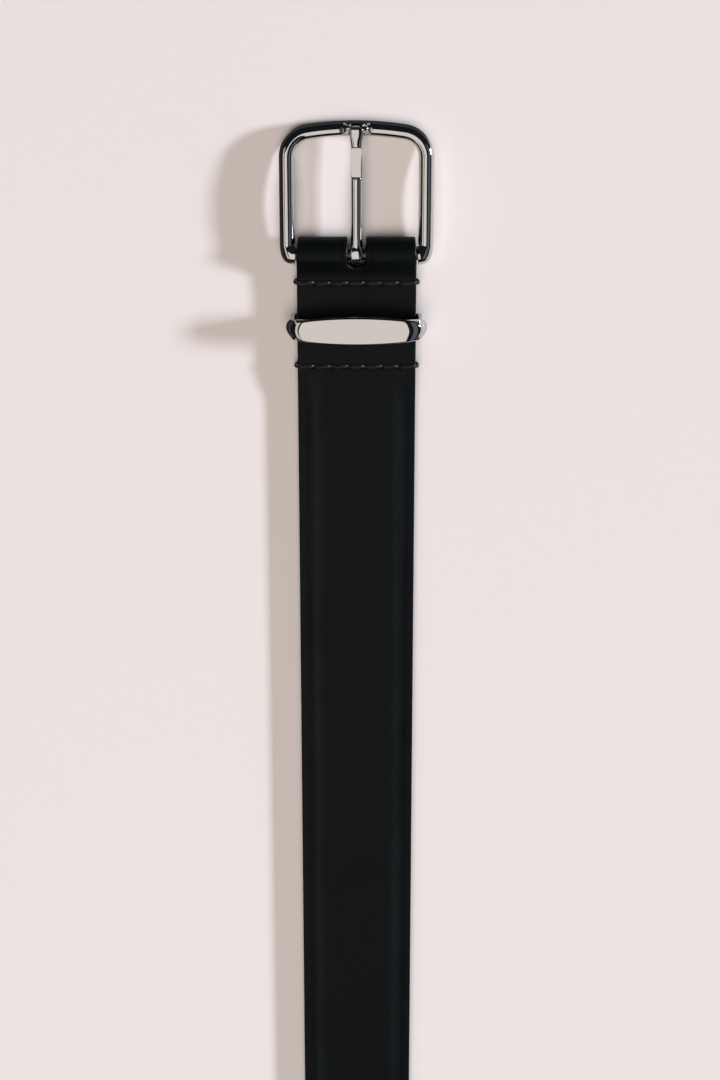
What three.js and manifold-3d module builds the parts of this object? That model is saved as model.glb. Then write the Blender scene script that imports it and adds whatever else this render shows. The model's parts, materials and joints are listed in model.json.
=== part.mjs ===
// A gentleman's leather belt, lying straight and flat with its face up.
// Millimetres, +Z up, +X across the strap, +Y along it towards the buckle.
// The strap's underside lies on z = 0, and the origin is under the middle of the whole belt.
// Inside this file every part is placed from the heel bar, whose axis is at y = 0.
// The strap is one continuous length. It is divided into lengths here so that it can bend.

import * as THREE from "three";
import { mergeVertices } from "three/addons/utils/BufferGeometryUtils.js";
import Module from "manifold-3d";

const wasm = await Module();
wasm.setup();

// ---- Strap
const STRAP_WIDTH = 35;
const FACE_THICKNESS = 1.8;
const FILLER_THICKNESS = 0.9;
const LINING_THICKNESS = 1.3;
const FILLER_TOP_MARGIN = 5.5; // strap edge to the filler's flat top
const FILLER_MARGIN = 1.5; // strap edge to the filler's skived edge
const EDGE_BEVEL = 0.5;
const BELT_SIZE = 850; // heel bar to the middle prong hole
const HOLE_COUNT = 5;
const HOLE_PITCH = 25;
const HOLE_DIAMETER = 4.2;
const TIP_PAST_HOLES = 85; // last hole to the strap's end
const TIP_ROUNDING = 22; // length of the rounded end
const FILLER_END_MARGIN = 12; // strap's end to the end of the filler

// ---- Where the strap bends
const BEND_COUNT = 7;
const FIRST_BEND = 310; // heel bar to the first bend
const LAST_BEND_TO_HOLE = 16; // last bend to the first prong hole
const BEND_GAP = 1.3; // between two lengths, so that they clear when they bend

// ---- Fold round the heel bar
const BAR_DIAMETER = 4;
const BAR_CLEARANCE = 0.2; // leather to bar
const LOOP_SLACK = 0.9; // extra room in front of the bar
const TAB_THICKNESS = 1.3; // the face leather is skived under the fold
const JOIN_DISTANCE = 7; // heel bar to where the tab meets the face
const TAB_PAST_ROW = 5; // rear stitch row to the tab's end
const SLOT_WIDTH = 5.5;
const SLOT_REACH = 4.7; // heel bar to the slot's end

// ---- Stitch rows
const FRONT_ROW = 9; // heel bar to each row
const REAR_ROW = 34.8;
const STITCH_LENGTH = 5;
const THREAD_THICKNESS = 0.9;
const THREAD_FLAT = 0.5; // pressed thread under the tab
const THREAD_PROUD = 0.5; // thread above the face
const THREAD_SUNK = 0.2; // thread below the face
const THREAD_GAP = 0.15;
const THREAD_LIFT = 0.1; // the thread stays clear of the surface the belt lies on

// ---- Buckle
const FRAME_GAP = 0.4; // strap edge to the frame
const FRAME_BAR = 4.4; // diameter of the frame's section
const FRAME_REACH = 36.8; // heel bar to the middle of the front bar
const FRAME_CORNER = 7; // radius of the section's middle line at a front corner
const FRONT_BOW = 92; // radius of the front bar's bow
const FRAME_ARCH = 1.3; // how far the arms rise between their ends
const EAR_RADIUS = 3.3;
const EAR_PROUD = 0.3; // the domes stand this much proud of the arms
const EAR_FLAT = 0.8; // inner face of an ear to where its dome starts
const SOCKET_DEPTH = 2.4;
const SOCKET_CLEARANCE = 0.05;
const SEAT_DEPTH = 1.4; // notch for the prong in the front bar
const SEAT_RIM = 1; // left whole outside the notch
const SEAT_FLARE = 2;
const SEAT_CLEARANCE = 0.3;

// ---- Prong
const PRONG_WIDTH = 3.4; // eye and body
const PRONG_TIP_WIDTH = 4.1;
const PRONG_FLARE = 2; // length over which the body widens into the tip
const PRONG_TIP_ROUNDING = 0.8;
const PRONG_EYE_RADIUS = 3.2;
const PRONG_BORE_CLEARANCE = 0.1;
const PRONG_TIP_THICKNESS = 2.2;
const PRONG_BODY_THICKNESS = 3.4;
const PRONG_REST_GAP = 0.1;
const RECESS_DEPTH = 0.9;
const RECESS_START = 23.2; // heel bar to the recess, and its length
const RECESS_LENGTH = 8.4;
const RECESS_SLOPE = 0.8;

// ---- Keeper
const KEEPER_GAP = 0.6; // strap edge to the keeper's legs
const KEEPER_LEG = 1.1;
const KEEPER_WIDTH = 6; // along the strap
const KEEPER_BACK = 0.7; // thickness of the bar behind the face leather
const KEEPER_PASSAGE = 4.5; // height of the way through, above the strap
const PLATE_THICKNESS = 1.6;
const PLATE_LENGTH = 41.5;
const PLATE_WIDTH = 8.8;
const PLATE_END_WIDTH = 6.4;
const PLATE_BEVEL = 0.5;
const POCKET_END_GAP = 3; // stitch row to the end of the keeper's pocket

const ROUND = 32; // sides of a full circle
const PAST = 1; // how far a cutting solid runs past what it cuts
const LAP = 2; // how far two solids overlap before they are joined

// ---- Worked out from the sizes above
const HALF = STRAP_WIDTH / 2;
const EDGE_TOP = LINING_THICKNESS + FACE_THICKNESS;
const FILLER_TOP = LINING_THICKNESS + FILLER_THICKNESS;
const STRAP_TOP = FILLER_TOP + FACE_THICKNESS;
const BAR_RADIUS = BAR_DIAMETER / 2;
const LOOP_RADIUS = BAR_RADIUS + BAR_CLEARANCE;
const FOLD_RADIUS = LOOP_RADIUS + FACE_THICKNESS;
const BAR_Z = TAB_THICKNESS + LOOP_RADIUS;
const LAST_HOLE = BELT_SIZE + ((HOLE_COUNT - 1) / 2) * HOLE_PITCH;
const FIRST_HOLE = LAST_HOLE - (HOLE_COUNT - 1) * HOLE_PITCH;
const STRAP_LENGTH = LAST_HOLE + TIP_PAST_HOLES;
const LAST_BEND = FIRST_HOLE - LAST_BEND_TO_HOLE;
const BEND_PITCH = (LAST_BEND - FIRST_BEND) / (BEND_COUNT - 1);
const TAB_END = REAR_ROW + TAB_PAST_ROW;
const POCKET_FRONT = FRONT_ROW + POCKET_END_GAP;
const POCKET_REAR = REAR_ROW - POCKET_END_GAP;
const KEEPER_PLACE = (POCKET_FRONT + POCKET_REAR) / 2;
const PLATE_BOTTOM = STRAP_TOP + KEEPER_PASSAGE;
const FRAME_RADIUS = FRAME_BAR / 2;
const ARM_X = HALF + FRAME_GAP + FRAME_RADIUS;
const FRONT_BAR_Z = FRAME_RADIUS;
const SEAT_Z = FRONT_BAR_Z + FRAME_RADIUS - SEAT_DEPTH;
const STITCHES = Math.round(STRAP_WIDTH / STITCH_LENGTH);
const STITCH_PITCH = STRAP_WIDTH / STITCHES;

// ---- Materials
const leather = { color: 0x121516, roughness: 0.5, metalness: 0 };
const polish = { color: 0xd8d8d6, roughness: 0.08, metalness: 1 };
const suede = { color: 0x1c1b1a, roughness: 0.9, metalness: 0 };
const thread = { color: 0x0c0d0d, roughness: 0.8, metalness: 0 };

// ---- Solids from three.js shapes
function solid(geometry) {
  const bare = geometry.index ? geometry.toNonIndexed() : geometry.clone();
  bare.deleteAttribute("normal");
  bare.deleteAttribute("uv");
  const merged = mergeVertices(bare, 1e-4);
  const vertProperties = merged.attributes.position.array;
  const index = merged.index.array;
  const kept = [];
  for (let i = 0; i < index.length; i += 3) {
    const [a, b, c] = index.slice(i, i + 3);
    if (a !== b && b !== c && c !== a) kept.push(a, b, c);
  }
  const triVerts = new Uint32Array(kept);
  return new wasm.Manifold(new wasm.Mesh({ numProp: 3, vertProperties, triVerts }));
}

function geometryOf(body) {
  const { vertProperties, triVerts } = body.getMesh();
  const geometry = new THREE.BufferGeometry();
  geometry.setAttribute("position", new THREE.BufferAttribute(vertProperties, 3));
  geometry.setIndex(new THREE.BufferAttribute(triVerts, 1));
  geometry.computeVertexNormals();
  return geometry;
}

// The same outline as straight steps, with no two points in one place.
function stepped(path, divisions) {
  const points = path.getPoints(divisions);
  const apart = points.filter((p, i) => p.distanceTo(points.at(i - 1)) > 1e-3);
  return new THREE.Shape(apart);
}

function extruded(shape, depth, extra = {}) {
  const { divisions = ROUND / 4, ...rest } = extra;
  const plain = stepped(shape, divisions);
  plain.holes = shape.holes.map((hole) => stepped(hole, divisions));
  return new THREE.ExtrudeGeometry(plain, { depth, bevelEnabled: false, ...rest });
}

// A shape drawn in (y, z), run across the strap.
function acrossStrap(shape, x0, x1, extra) {
  const turn = new THREE.Matrix4().makeBasis(
    new THREE.Vector3(0, 1, 0),
    new THREE.Vector3(0, 0, 1),
    new THREE.Vector3(1, 0, 0),
  );
  return solid(extruded(shape, x1 - x0, extra).applyMatrix4(turn).translate(x0, 0, 0));
}

// A shape drawn in (x, z), run along the strap.
function alongStrap(shape, y0, y1) {
  const turn = new THREE.Matrix4().makeBasis(
    new THREE.Vector3(1, 0, 0),
    new THREE.Vector3(0, 0, 1),
    new THREE.Vector3(0, -1, 0),
  );
  return solid(extruded(shape, y1 - y0).applyMatrix4(turn).translate(0, y1, 0));
}

// A shape drawn in (x, y), run upwards.
function upwards(shape, z0, z1, extra) {
  return solid(extruded(shape, z1 - z0, extra).translate(0, 0, z0));
}

function outline(points) {
  return new THREE.Shape(points.map(([a, b]) => new THREE.Vector2(a, b)));
}

function rectangle(a0, a1, b0, b1) {
  return outline([[a0, b0], [a1, b0], [a1, b1], [a0, b1]]);
}

function circle(a, b, radius) {
  const shape = new THREE.Shape();
  shape.absarc(a, b, radius, 0, 2 * Math.PI, false);
  return shape;
}

function block(x0, x1, y0, y1, z0, z1) {
  const box = new THREE.BoxGeometry(x1 - x0, y1 - y0, z1 - z0);
  return solid(box.translate((x0 + x1) / 2, (y0 + y1) / 2, (z0 + z1) / 2));
}

function part(name, body, finish) {
  const mesh = new THREE.Mesh(geometryOf(body), new THREE.MeshStandardMaterial(finish));
  mesh.name = name;
  return mesh;
}

// ---- Sections of the strap, symmetrical about x = 0
function mirrored(half) {
  const other = half.map(([x, z]) => [-x, z]).reverse();
  return outline([...half, ...other]);
}

function faceSection(hollow) {
  const underside = hollow
    ? [[HALF - FILLER_TOP_MARGIN, FILLER_TOP], [HALF - FILLER_MARGIN, LINING_THICKNESS]]
    : [];
  return mirrored([
    ...underside,
    [HALF, LINING_THICKNESS],
    [HALF, EDGE_TOP - EDGE_BEVEL],
    [HALF - EDGE_BEVEL, EDGE_TOP],
    [HALF - FILLER_MARGIN, EDGE_TOP],
    [HALF - FILLER_TOP_MARGIN, STRAP_TOP],
  ]);
}

function fillerSection() {
  return mirrored([
    [HALF - FILLER_MARGIN, LINING_THICKNESS],
    [HALF - FILLER_TOP_MARGIN, FILLER_TOP],
  ]);
}

function liningSection() {
  return rectangle(-HALF, HALF, 0, LINING_THICKNESS);
}

// ---- The fold, seen from the side. The leather leaves the bar towards the place where the plies join.
function leavingAngle() {
  const toJoin = new THREE.Vector2(-JOIN_DISTANCE, TAB_THICKNESS - BAR_Z);
  return toJoin.angle() - Math.acos(LOOP_RADIUS / toJoin.length());
}

function foldOutside() {
  const leave = leavingAngle();
  const start = new THREE.Vector2(FOLD_RADIUS * Math.cos(leave), BAR_Z + FOLD_RADIUS * Math.sin(leave));
  const run = (start.y - STRAP_TOP) / Math.tan(leave + Math.PI / 2);
  const shape = new THREE.Shape();
  shape.moveTo(-TAB_END, 0);
  shape.lineTo(0, 0);
  shape.absellipse(0, BAR_Z, FOLD_RADIUS + LOOP_SLACK, BAR_Z, -Math.PI / 2, 0, false);
  shape.absellipse(0, BAR_Z, FOLD_RADIUS + LOOP_SLACK, FOLD_RADIUS, 0, Math.PI / 2, false);
  shape.absarc(0, BAR_Z, FOLD_RADIUS, Math.PI / 2, leave, false);
  shape.lineTo(start.x - run, STRAP_TOP);
  shape.lineTo(-TAB_END, STRAP_TOP);
  return shape;
}

function foldInside() {
  const shape = new THREE.Shape();
  shape.moveTo(-JOIN_DISTANCE, TAB_THICKNESS);
  shape.lineTo(0, TAB_THICKNESS);
  shape.absellipse(0, BAR_Z, LOOP_RADIUS + LOOP_SLACK, LOOP_RADIUS, -Math.PI / 2, Math.PI / 2, false);
  shape.absarc(0, BAR_Z, LOOP_RADIUS, Math.PI / 2, leavingAngle(), false);
  return shape;
}

function fold() {
  const across = HALF + PAST;
  return acrossStrap(foldOutside(), -HALF, HALF)
    .subtract(acrossStrap(foldInside(), -across, across))
    .subtract(block(-across, across, -POCKET_REAR, -POCKET_FRONT, TAB_THICKNESS, FILLER_TOP))
    .subtract(prongSlot());
}

// The slot that the prong stands in, cut through both sides of the fold.
function prongSlot() {
  const half = SLOT_WIDTH / 2;
  const front = FOLD_RADIUS + LOOP_SLACK + PAST;
  const shape = new THREE.Shape();
  shape.moveTo(half, front);
  shape.lineTo(-half, front);
  shape.lineTo(-half, half - SLOT_REACH);
  shape.absarc(0, half - SLOT_REACH, half, Math.PI, 2 * Math.PI, false);
  return upwards(shape, -PAST, BAR_Z + FOLD_RADIUS + PAST);
}

function postPlaces() {
  return Array.from({ length: STITCHES - 1 }, (_, i) => (i + 1 - STITCHES / 2) * STITCH_PITCH);
}

// Stitch holes through every ply, with a groove for the thread above and below.
function stitchCut(row) {
  const reach = THREAD_THICKNESS / 2 + THREAD_GAP;
  const below = THREAD_LIFT + THREAD_FLAT + THREAD_GAP;
  const above = STRAP_TOP - THREAD_SUNK - THREAD_GAP;
  const across = HALF + PAST;
  const high = STRAP_TOP + PAST;
  let cut = block(-across, across, -row - reach, -row + reach, -PAST, below)
    .add(block(-across, across, -row - reach, -row + reach, above, high));
  for (const x of postPlaces()) {
    cut = cut.add(block(x - reach, x + reach, -row - reach, -row + reach, -PAST, high));
  }
  return cut;
}

function prongHoles() {
  let holes = null;
  for (let i = 0; i < HOLE_COUNT; i++) {
    const y = -(FIRST_HOLE + i * HOLE_PITCH);
    const hole = upwards(circle(0, y, HOLE_DIAMETER / 2), -PAST, STRAP_TOP + PAST);
    holes = holes ? holes.add(hole) : hole;
  }
  return holes;
}

// Plan of the strap's last length, with its rounded end.
function tipPlan(y0, y1) {
  const shape = new THREE.Shape();
  shape.moveTo(HALF, y1);
  shape.lineTo(-HALF, y1);
  shape.lineTo(-HALF, y0 + TIP_ROUNDING);
  shape.absellipse(0, y0 + TIP_ROUNDING, HALF, TIP_ROUNDING, Math.PI, 2 * Math.PI, false);
  return shape;
}

// ---- Plies
function firstLength(y0) {
  const cuts = stitchCut(FRONT_ROW).add(stitchCut(REAR_ROW));
  const fillerEnd = -POCKET_REAR;
  const run = alongStrap(faceSection(true), y0, -TAB_END + LAP);
  const end = fold().subtract(alongStrap(fillerSection(), -TAB_END - LAP, fillerEnd + LAP));
  return {
    face: run.add(end).subtract(cuts),
    filler: alongStrap(fillerSection(), y0, fillerEnd).subtract(cuts),
    lining: alongStrap(liningSection(), y0, -TAB_END - THREAD_GAP),
  };
}

function middleLength(y0, y1) {
  return {
    face: alongStrap(faceSection(true), y0, y1),
    filler: alongStrap(fillerSection(), y0, y1),
    lining: alongStrap(liningSection(), y0, y1),
  };
}

function tipLength(y0, y1) {
  const fillerEnd = y0 + FILLER_END_MARGIN;
  const face = alongStrap(faceSection(true), fillerEnd, y1)
    .add(alongStrap(faceSection(false), y0, fillerEnd));
  const plan = upwards(tipPlan(y0, y1), -PAST, STRAP_TOP + PAST);
  const inner = upwards(tipPlan(y0 + FILLER_MARGIN, y1 + PAST), -PAST, STRAP_TOP + PAST);
  const holes = prongHoles();
  const filler = alongStrap(fillerSection(), fillerEnd, y1);
  return {
    face: face.intersect(plan).subtract(holes),
    filler: filler.intersect(inner).subtract(holes),
    lining: alongStrap(liningSection(), y0, y1).intersect(plan).subtract(holes),
  };
}

function strap() {
  const group = new THREE.Group();
  const half = BEND_GAP / 2;
  for (let i = 0; i <= BEND_COUNT; i++) {
    const front = -(FIRST_BEND + (i - 1) * BEND_PITCH) - half;
    const rear = -(FIRST_BEND + i * BEND_PITCH) + half;
    let plies = null;
    if (i === 0) plies = firstLength(rear);
    else if (i === BEND_COUNT) plies = tipLength(-STRAP_LENGTH, front);
    else plies = middleLength(rear, front);
    group.add(part(`face_leather_${i + 1}`, plies.face, leather));
    group.add(part(`filler_${i + 1}`, plies.filler, suede));
    group.add(part(`lining_leather_${i + 1}`, plies.lining, suede));
  }
  return group;
}

// ---- One stitch row: runs above and below, posts through the holes, and a turn over each edge
function stitchRow(name, row) {
  const half = THREAD_THICKNESS / 2;
  const inside = HALF + THREAD_GAP;
  const outside = inside + THREAD_THICKNESS;
  const under = THREAD_LIFT + THREAD_FLAT;
  const over = STRAP_TOP - THREAD_SUNK;
  const posts = postPlaces();
  const lefts = [-inside, ...posts.map((x) => x + half)];
  const rights = [...posts.map((x) => x - half), inside];
  let body = block(-outside, outside, -row - half, -row + half, THREAD_LIFT, STRAP_TOP + THREAD_PROUD);
  lefts.forEach((left, i) => {
    body = body.subtract(block(left, rights[i], -row - PAST, -row + PAST, under, over));
  });
  return part(name, body, thread);
}

// ---- Buckle frame: a round section swept along the front bar and arms, with a domed ear at each heel
function frameHeight(y) {
  const s = Math.min(Math.max(y / FRAME_REACH, 0), 1);
  return BAR_Z + (FRONT_BAR_Z - BAR_Z) * s + 4 * FRAME_ARCH * s * (1 - s);
}

function frameLine() {
  const cornerX = ARM_X - FRAME_CORNER;
  const bowY = FRAME_REACH - FRONT_BOW;
  const cornerY = bowY + Math.sqrt((FRONT_BOW - FRAME_CORNER) ** 2 - cornerX ** 2);
  const turn = Math.atan2(cornerY - bowY, cornerX);
  const plan = new THREE.Path();
  plan.moveTo(ARM_X, 0);
  plan.lineTo(ARM_X, cornerY);
  plan.absarc(cornerX, cornerY, FRAME_CORNER, 0, turn, false);
  plan.absarc(0, bowY, FRONT_BOW, turn, Math.PI - turn, false);
  plan.absarc(-cornerX, cornerY, FRAME_CORNER, Math.PI - turn, Math.PI, false);
  plan.lineTo(-ARM_X, 0);
  const steps = 60;
  const points = plan.getSpacedPoints(steps);
  return new THREE.CatmullRomCurve3(
    points.map((p) => new THREE.Vector3(p.x, p.y, frameHeight(p.y))),
  );
}

function barAcross(radius, x0, x1) {
  const bar = new THREE.CylinderGeometry(radius, radius, x1 - x0, ROUND);
  return solid(bar.rotateZ(Math.PI / 2).translate((x0 + x1) / 2, 0, BAR_Z));
}

function ear(side) {
  const inner = HALF + FRAME_GAP;
  const tip = FRAME_BAR + EAR_PROUD - EAR_FLAT;
  const profile = [new THREE.Vector2(0, 0), new THREE.Vector2(EAR_RADIUS, 0)];
  const steps = 8;
  for (let i = 0; i <= steps; i++) {
    const angle = (i / steps) * (Math.PI / 2);
    const radius = i === steps ? 0 : EAR_RADIUS * Math.cos(angle);
    profile.push(new THREE.Vector2(radius, EAR_FLAT + tip * Math.sin(angle)));
  }
  const dome = new THREE.LatheGeometry(profile, ROUND);
  return solid(dome.rotateZ((-side * Math.PI) / 2).translate(side * inner, 0, BAR_Z));
}

// The saddle in the front bar where the prong's tip lies, open to the inside.
function prongSeat() {
  const half = PRONG_TIP_WIDTH / 2 + SEAT_CLEARANCE;
  const top = FRONT_BAR_Z + FRAME_BAR;
  const rise = top - SEAT_Z;
  const wide = half + (SEAT_FLARE * rise) / SEAT_DEPTH;
  const shape = outline([[-half, SEAT_Z], [half, SEAT_Z], [wide, top], [-wide, top]]);
  const rim = FRAME_REACH + FRAME_RADIUS - SEAT_RIM;
  return alongStrap(shape, FRAME_REACH - FRAME_BAR, rim);
}

function buckleFrame() {
  const tube = extruded(circle(0, 0, FRAME_RADIUS), 1, {
    steps: 90,
    extrudePath: frameLine(),
    divisions: ROUND / 4,
  });
  const socket = ARM_X - FRAME_RADIUS + SOCKET_DEPTH;
  const body = solid(tube)
    .add(ear(1))
    .add(ear(-1))
    .subtract(barAcross(BAR_RADIUS + SOCKET_CLEARANCE, -socket, socket))
    .subtract(prongSeat());
  return part("buckle_frame", body, polish);
}

function heelBar() {
  const reach = ARM_X - FRAME_RADIUS + SOCKET_DEPTH - SOCKET_CLEARANCE;
  return part("heel_bar", barAcross(BAR_RADIUS, -reach, reach), polish);
}

// ---- Prong: eye, body with its recess, and a thin tip that rests in the saddle
function prongPlan(tipStart, tipEnd) {
  const body = PRONG_WIDTH / 2;
  const tip = PRONG_TIP_WIDTH / 2;
  const heel = -PRONG_EYE_RADIUS - PAST;
  const straightEnd = tipEnd - PRONG_TIP_ROUNDING;
  const shape = new THREE.Shape();
  shape.moveTo(-body, heel);
  shape.lineTo(body, heel);
  shape.lineTo(body, tipStart);
  shape.lineTo(tip, tipStart + PRONG_FLARE);
  shape.lineTo(tip, straightEnd);
  shape.absellipse(0, straightEnd, tip, PRONG_TIP_ROUNDING, 0, Math.PI, false);
  shape.lineTo(-tip, tipStart + PRONG_FLARE);
  shape.lineTo(-body, tipStart);
  return shape;
}

function prong() {
  const tipEnd = FRAME_REACH + FRAME_RADIUS - SEAT_RIM - SEAT_CLEARANCE;
  const restZ = SEAT_Z + PRONG_REST_GAP;
  const tipTop = restZ + PRONG_TIP_THICKNESS;
  const bodyTop = BAR_Z + PRONG_EYE_RADIUS;
  const bodyBottom = bodyTop - PRONG_BODY_THICKNESS;
  const recessEnd = RECESS_START + RECESS_LENGTH;
  const topAt = (y) => bodyTop + ((tipTop - bodyTop) * y * y) / (tipEnd * tipEnd);
  const eyeMeets = Math.asin((bodyBottom - BAR_Z) / PRONG_EYE_RADIUS);
  const shape = new THREE.Shape();
  shape.absarc(0, BAR_Z, PRONG_EYE_RADIUS, Math.PI / 2, eyeMeets + 2 * Math.PI, false);
  shape.lineTo(RECESS_START, bodyBottom);
  shape.lineTo(FRAME_REACH - FRAME_BAR, restZ);
  shape.lineTo(tipEnd, restZ);
  shape.lineTo(tipEnd, topAt(tipEnd));
  shape.lineTo(recessEnd + RECESS_SLOPE, topAt(recessEnd + RECESS_SLOPE));
  shape.lineTo(recessEnd, topAt(recessEnd) - RECESS_DEPTH);
  shape.lineTo(RECESS_START, topAt(RECESS_START) - RECESS_DEPTH);
  shape.lineTo(RECESS_START - RECESS_SLOPE, topAt(RECESS_START - RECESS_SLOPE));
  shape.lineTo(RECESS_START / 2, topAt(RECESS_START / 2));
  const body = acrossStrap(shape, -PRONG_TIP_WIDTH / 2, PRONG_TIP_WIDTH / 2)
    .intersect(upwards(prongPlan(recessEnd, tipEnd), -PAST, bodyTop + PAST))
    .subtract(barAcross(BAR_RADIUS + PRONG_BORE_CLEARANCE, -PRONG_WIDTH, PRONG_WIDTH));
  return part("prong", body, polish);
}

// ---- Keeper: a loop round the strap, with a long oval plate on top
function keeperLoop() {
  const inner = HALF + KEEPER_GAP;
  const outer = inner + KEEPER_LEG;
  const backGap = (FILLER_THICKNESS - KEEPER_BACK) / 2;
  const bottom = LINING_THICKNESS + backGap;
  const shape = rectangle(-outer, outer, bottom, PLATE_BOTTOM + PLATE_BEVEL);
  shape.holes.push(rectangle(-inner, inner, bottom + KEEPER_BACK, PLATE_BOTTOM));
  const middle = -KEEPER_PLACE;
  return alongStrap(shape, middle - KEEPER_WIDTH / 2, middle + KEEPER_WIDTH / 2);
}

function keeperPlate() {
  const end = PLATE_END_WIDTH / 2;
  const side = PLATE_LENGTH / 2 - end;
  const crown = PLATE_WIDTH - end;
  const y = -KEEPER_PLACE;
  const shape = new THREE.Shape();
  shape.moveTo(-side, y - end);
  shape.quadraticCurveTo(0, y - crown, side, y - end);
  shape.absarc(side, y, end, -Math.PI / 2, Math.PI / 2, false);
  shape.quadraticCurveTo(0, y + crown, -side, y + end);
  shape.absarc(-side, y, end, Math.PI / 2, (3 * Math.PI) / 2, false);
  const top = PLATE_BOTTOM + PLATE_THICKNESS;
  return upwards(shape, PLATE_BOTTOM + PLATE_BEVEL, top - PLATE_BEVEL, {
    bevelEnabled: true,
    bevelThickness: PLATE_BEVEL,
    bevelSize: PLATE_BEVEL,
    bevelOffset: -PLATE_BEVEL,
    bevelSegments: 2,
  });
}

function keeper() {
  return part("keeper", keeperLoop().add(keeperPlate()), polish);
}

// ---- The belt
function belt() {
  const group = new THREE.Group();
  group.add(strap());
  group.add(stitchRow("stitch_row_front", FRONT_ROW));
  group.add(stitchRow("stitch_row_rear", REAR_ROW));
  group.add(buckleFrame(), heelBar(), prong(), keeper());
  group.position.y = (STRAP_LENGTH - FRAME_REACH - FRAME_RADIUS) / 2;
  return group;
}

export default belt();
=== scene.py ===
"""A leather dress belt, as a Blender add-on: each operator makes one piece, or one group of like pieces.

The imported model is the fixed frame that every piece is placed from. All lengths are in metres.
+Y runs along the strap to the buckle, +X across it and +Z out of its face.
A ply is first laid out flat in a bmesh, across in x and along in y, and then bent into place."""

import json
import math

import bmesh
import bpy
import numpy as np
from bpy.props import FloatProperty, FloatVectorProperty, PointerProperty
from mathutils import Matrix, Vector


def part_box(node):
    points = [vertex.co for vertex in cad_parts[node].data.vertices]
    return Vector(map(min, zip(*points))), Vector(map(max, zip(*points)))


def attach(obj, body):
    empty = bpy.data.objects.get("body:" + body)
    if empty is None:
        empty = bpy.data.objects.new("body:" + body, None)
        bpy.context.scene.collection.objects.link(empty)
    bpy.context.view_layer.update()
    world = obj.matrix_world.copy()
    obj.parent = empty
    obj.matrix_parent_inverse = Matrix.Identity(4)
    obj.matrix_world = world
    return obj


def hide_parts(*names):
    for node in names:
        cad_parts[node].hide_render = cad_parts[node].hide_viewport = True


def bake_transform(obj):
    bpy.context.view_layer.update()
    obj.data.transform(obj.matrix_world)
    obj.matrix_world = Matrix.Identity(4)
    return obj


bl_info = {
    "name": "Leather Belt",
    "version": (1, 0, 0),
    "blender": (4, 5, 0),
    "location": "3D View > Sidebar > Belt",
    "description": "Makes the leather, thread and metal of a dress belt around its packed frame",
    "category": "Add Mesh",
}

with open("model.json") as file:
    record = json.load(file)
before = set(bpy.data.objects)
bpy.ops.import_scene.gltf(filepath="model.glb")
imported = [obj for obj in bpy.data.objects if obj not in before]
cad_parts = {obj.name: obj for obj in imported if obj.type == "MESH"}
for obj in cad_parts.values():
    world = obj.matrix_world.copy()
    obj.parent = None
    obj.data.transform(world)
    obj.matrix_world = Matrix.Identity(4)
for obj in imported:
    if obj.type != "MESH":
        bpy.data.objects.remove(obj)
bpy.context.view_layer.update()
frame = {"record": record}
MM = 0.001

# ---- Places and sizes that the frame gives
JOINTS = {joint["name"]: joint for joint in frame["record"]["behaviour"]["joints"]}
BAR_Y, BAR_Z = JOINTS["buckle_pivot"]["pos_m"][1:]
BENDS = [JOINTS[name] for name in sorted(JOINTS) if name.startswith("strap_bend_")]
BEND_Y = [joint["pos_m"][1] for joint in BENDS]
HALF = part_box("face_leather_2")[1].x
STRAP_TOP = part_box("face_leather_2")[1].z
LINING_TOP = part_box("lining_leather_2")[1].z
FILLER_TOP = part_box("filler_2")[1].z
FILLER_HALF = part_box("filler_2")[1].x
FILLER_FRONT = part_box("filler_1")[1].y
FILLER_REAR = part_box("filler_8")[0].y
LINING_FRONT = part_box("lining_leather_1")[1].y
TIP_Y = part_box("face_leather_8")[0].y
FOLD_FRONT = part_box("face_leather_1")[1].y
BAR_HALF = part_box("heel_bar")[1].x
BAR_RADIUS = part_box("heel_bar")[1].z - BAR_Z
ROWS = [sum(corner.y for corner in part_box(name)) / 2 for name in ("stitch_row_front", "stitch_row_rear")]
THREAD_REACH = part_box("stitch_row_front")[1].x
THREAD_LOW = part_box("stitch_row_front")[0].z
THREAD_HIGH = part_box("stitch_row_front")[1].z
THREAD_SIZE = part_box("stitch_row_front")[1].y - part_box("stitch_row_front")[0].y
FRAME_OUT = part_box("buckle_frame")[1].x
FRAME_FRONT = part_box("buckle_frame")[1].y - BAR_Y
PRONG_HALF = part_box("prong")[1].x
PRONG_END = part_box("prong")[1].y - BAR_Y
PRONG_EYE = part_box("prong")[1].z - BAR_Z
KEEPER_LOW, KEEPER_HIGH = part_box("keeper")
KEEPER_Y = (KEEPER_LOW.y + KEEPER_HIGH.y) / 2


def length(name, description, millimetres):
    """A property that holds a length."""
    size = millimetres * MM
    return FloatProperty(name=name, description=description, default=size, unit="LENGTH", precision=5)


def colour(name, description, red, green, blue):
    """A property that holds a linear colour."""
    return FloatVectorProperty(
        name=name, description=description, default=(red, green, blue), subtype="COLOR", min=0, max=1
    )


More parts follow.
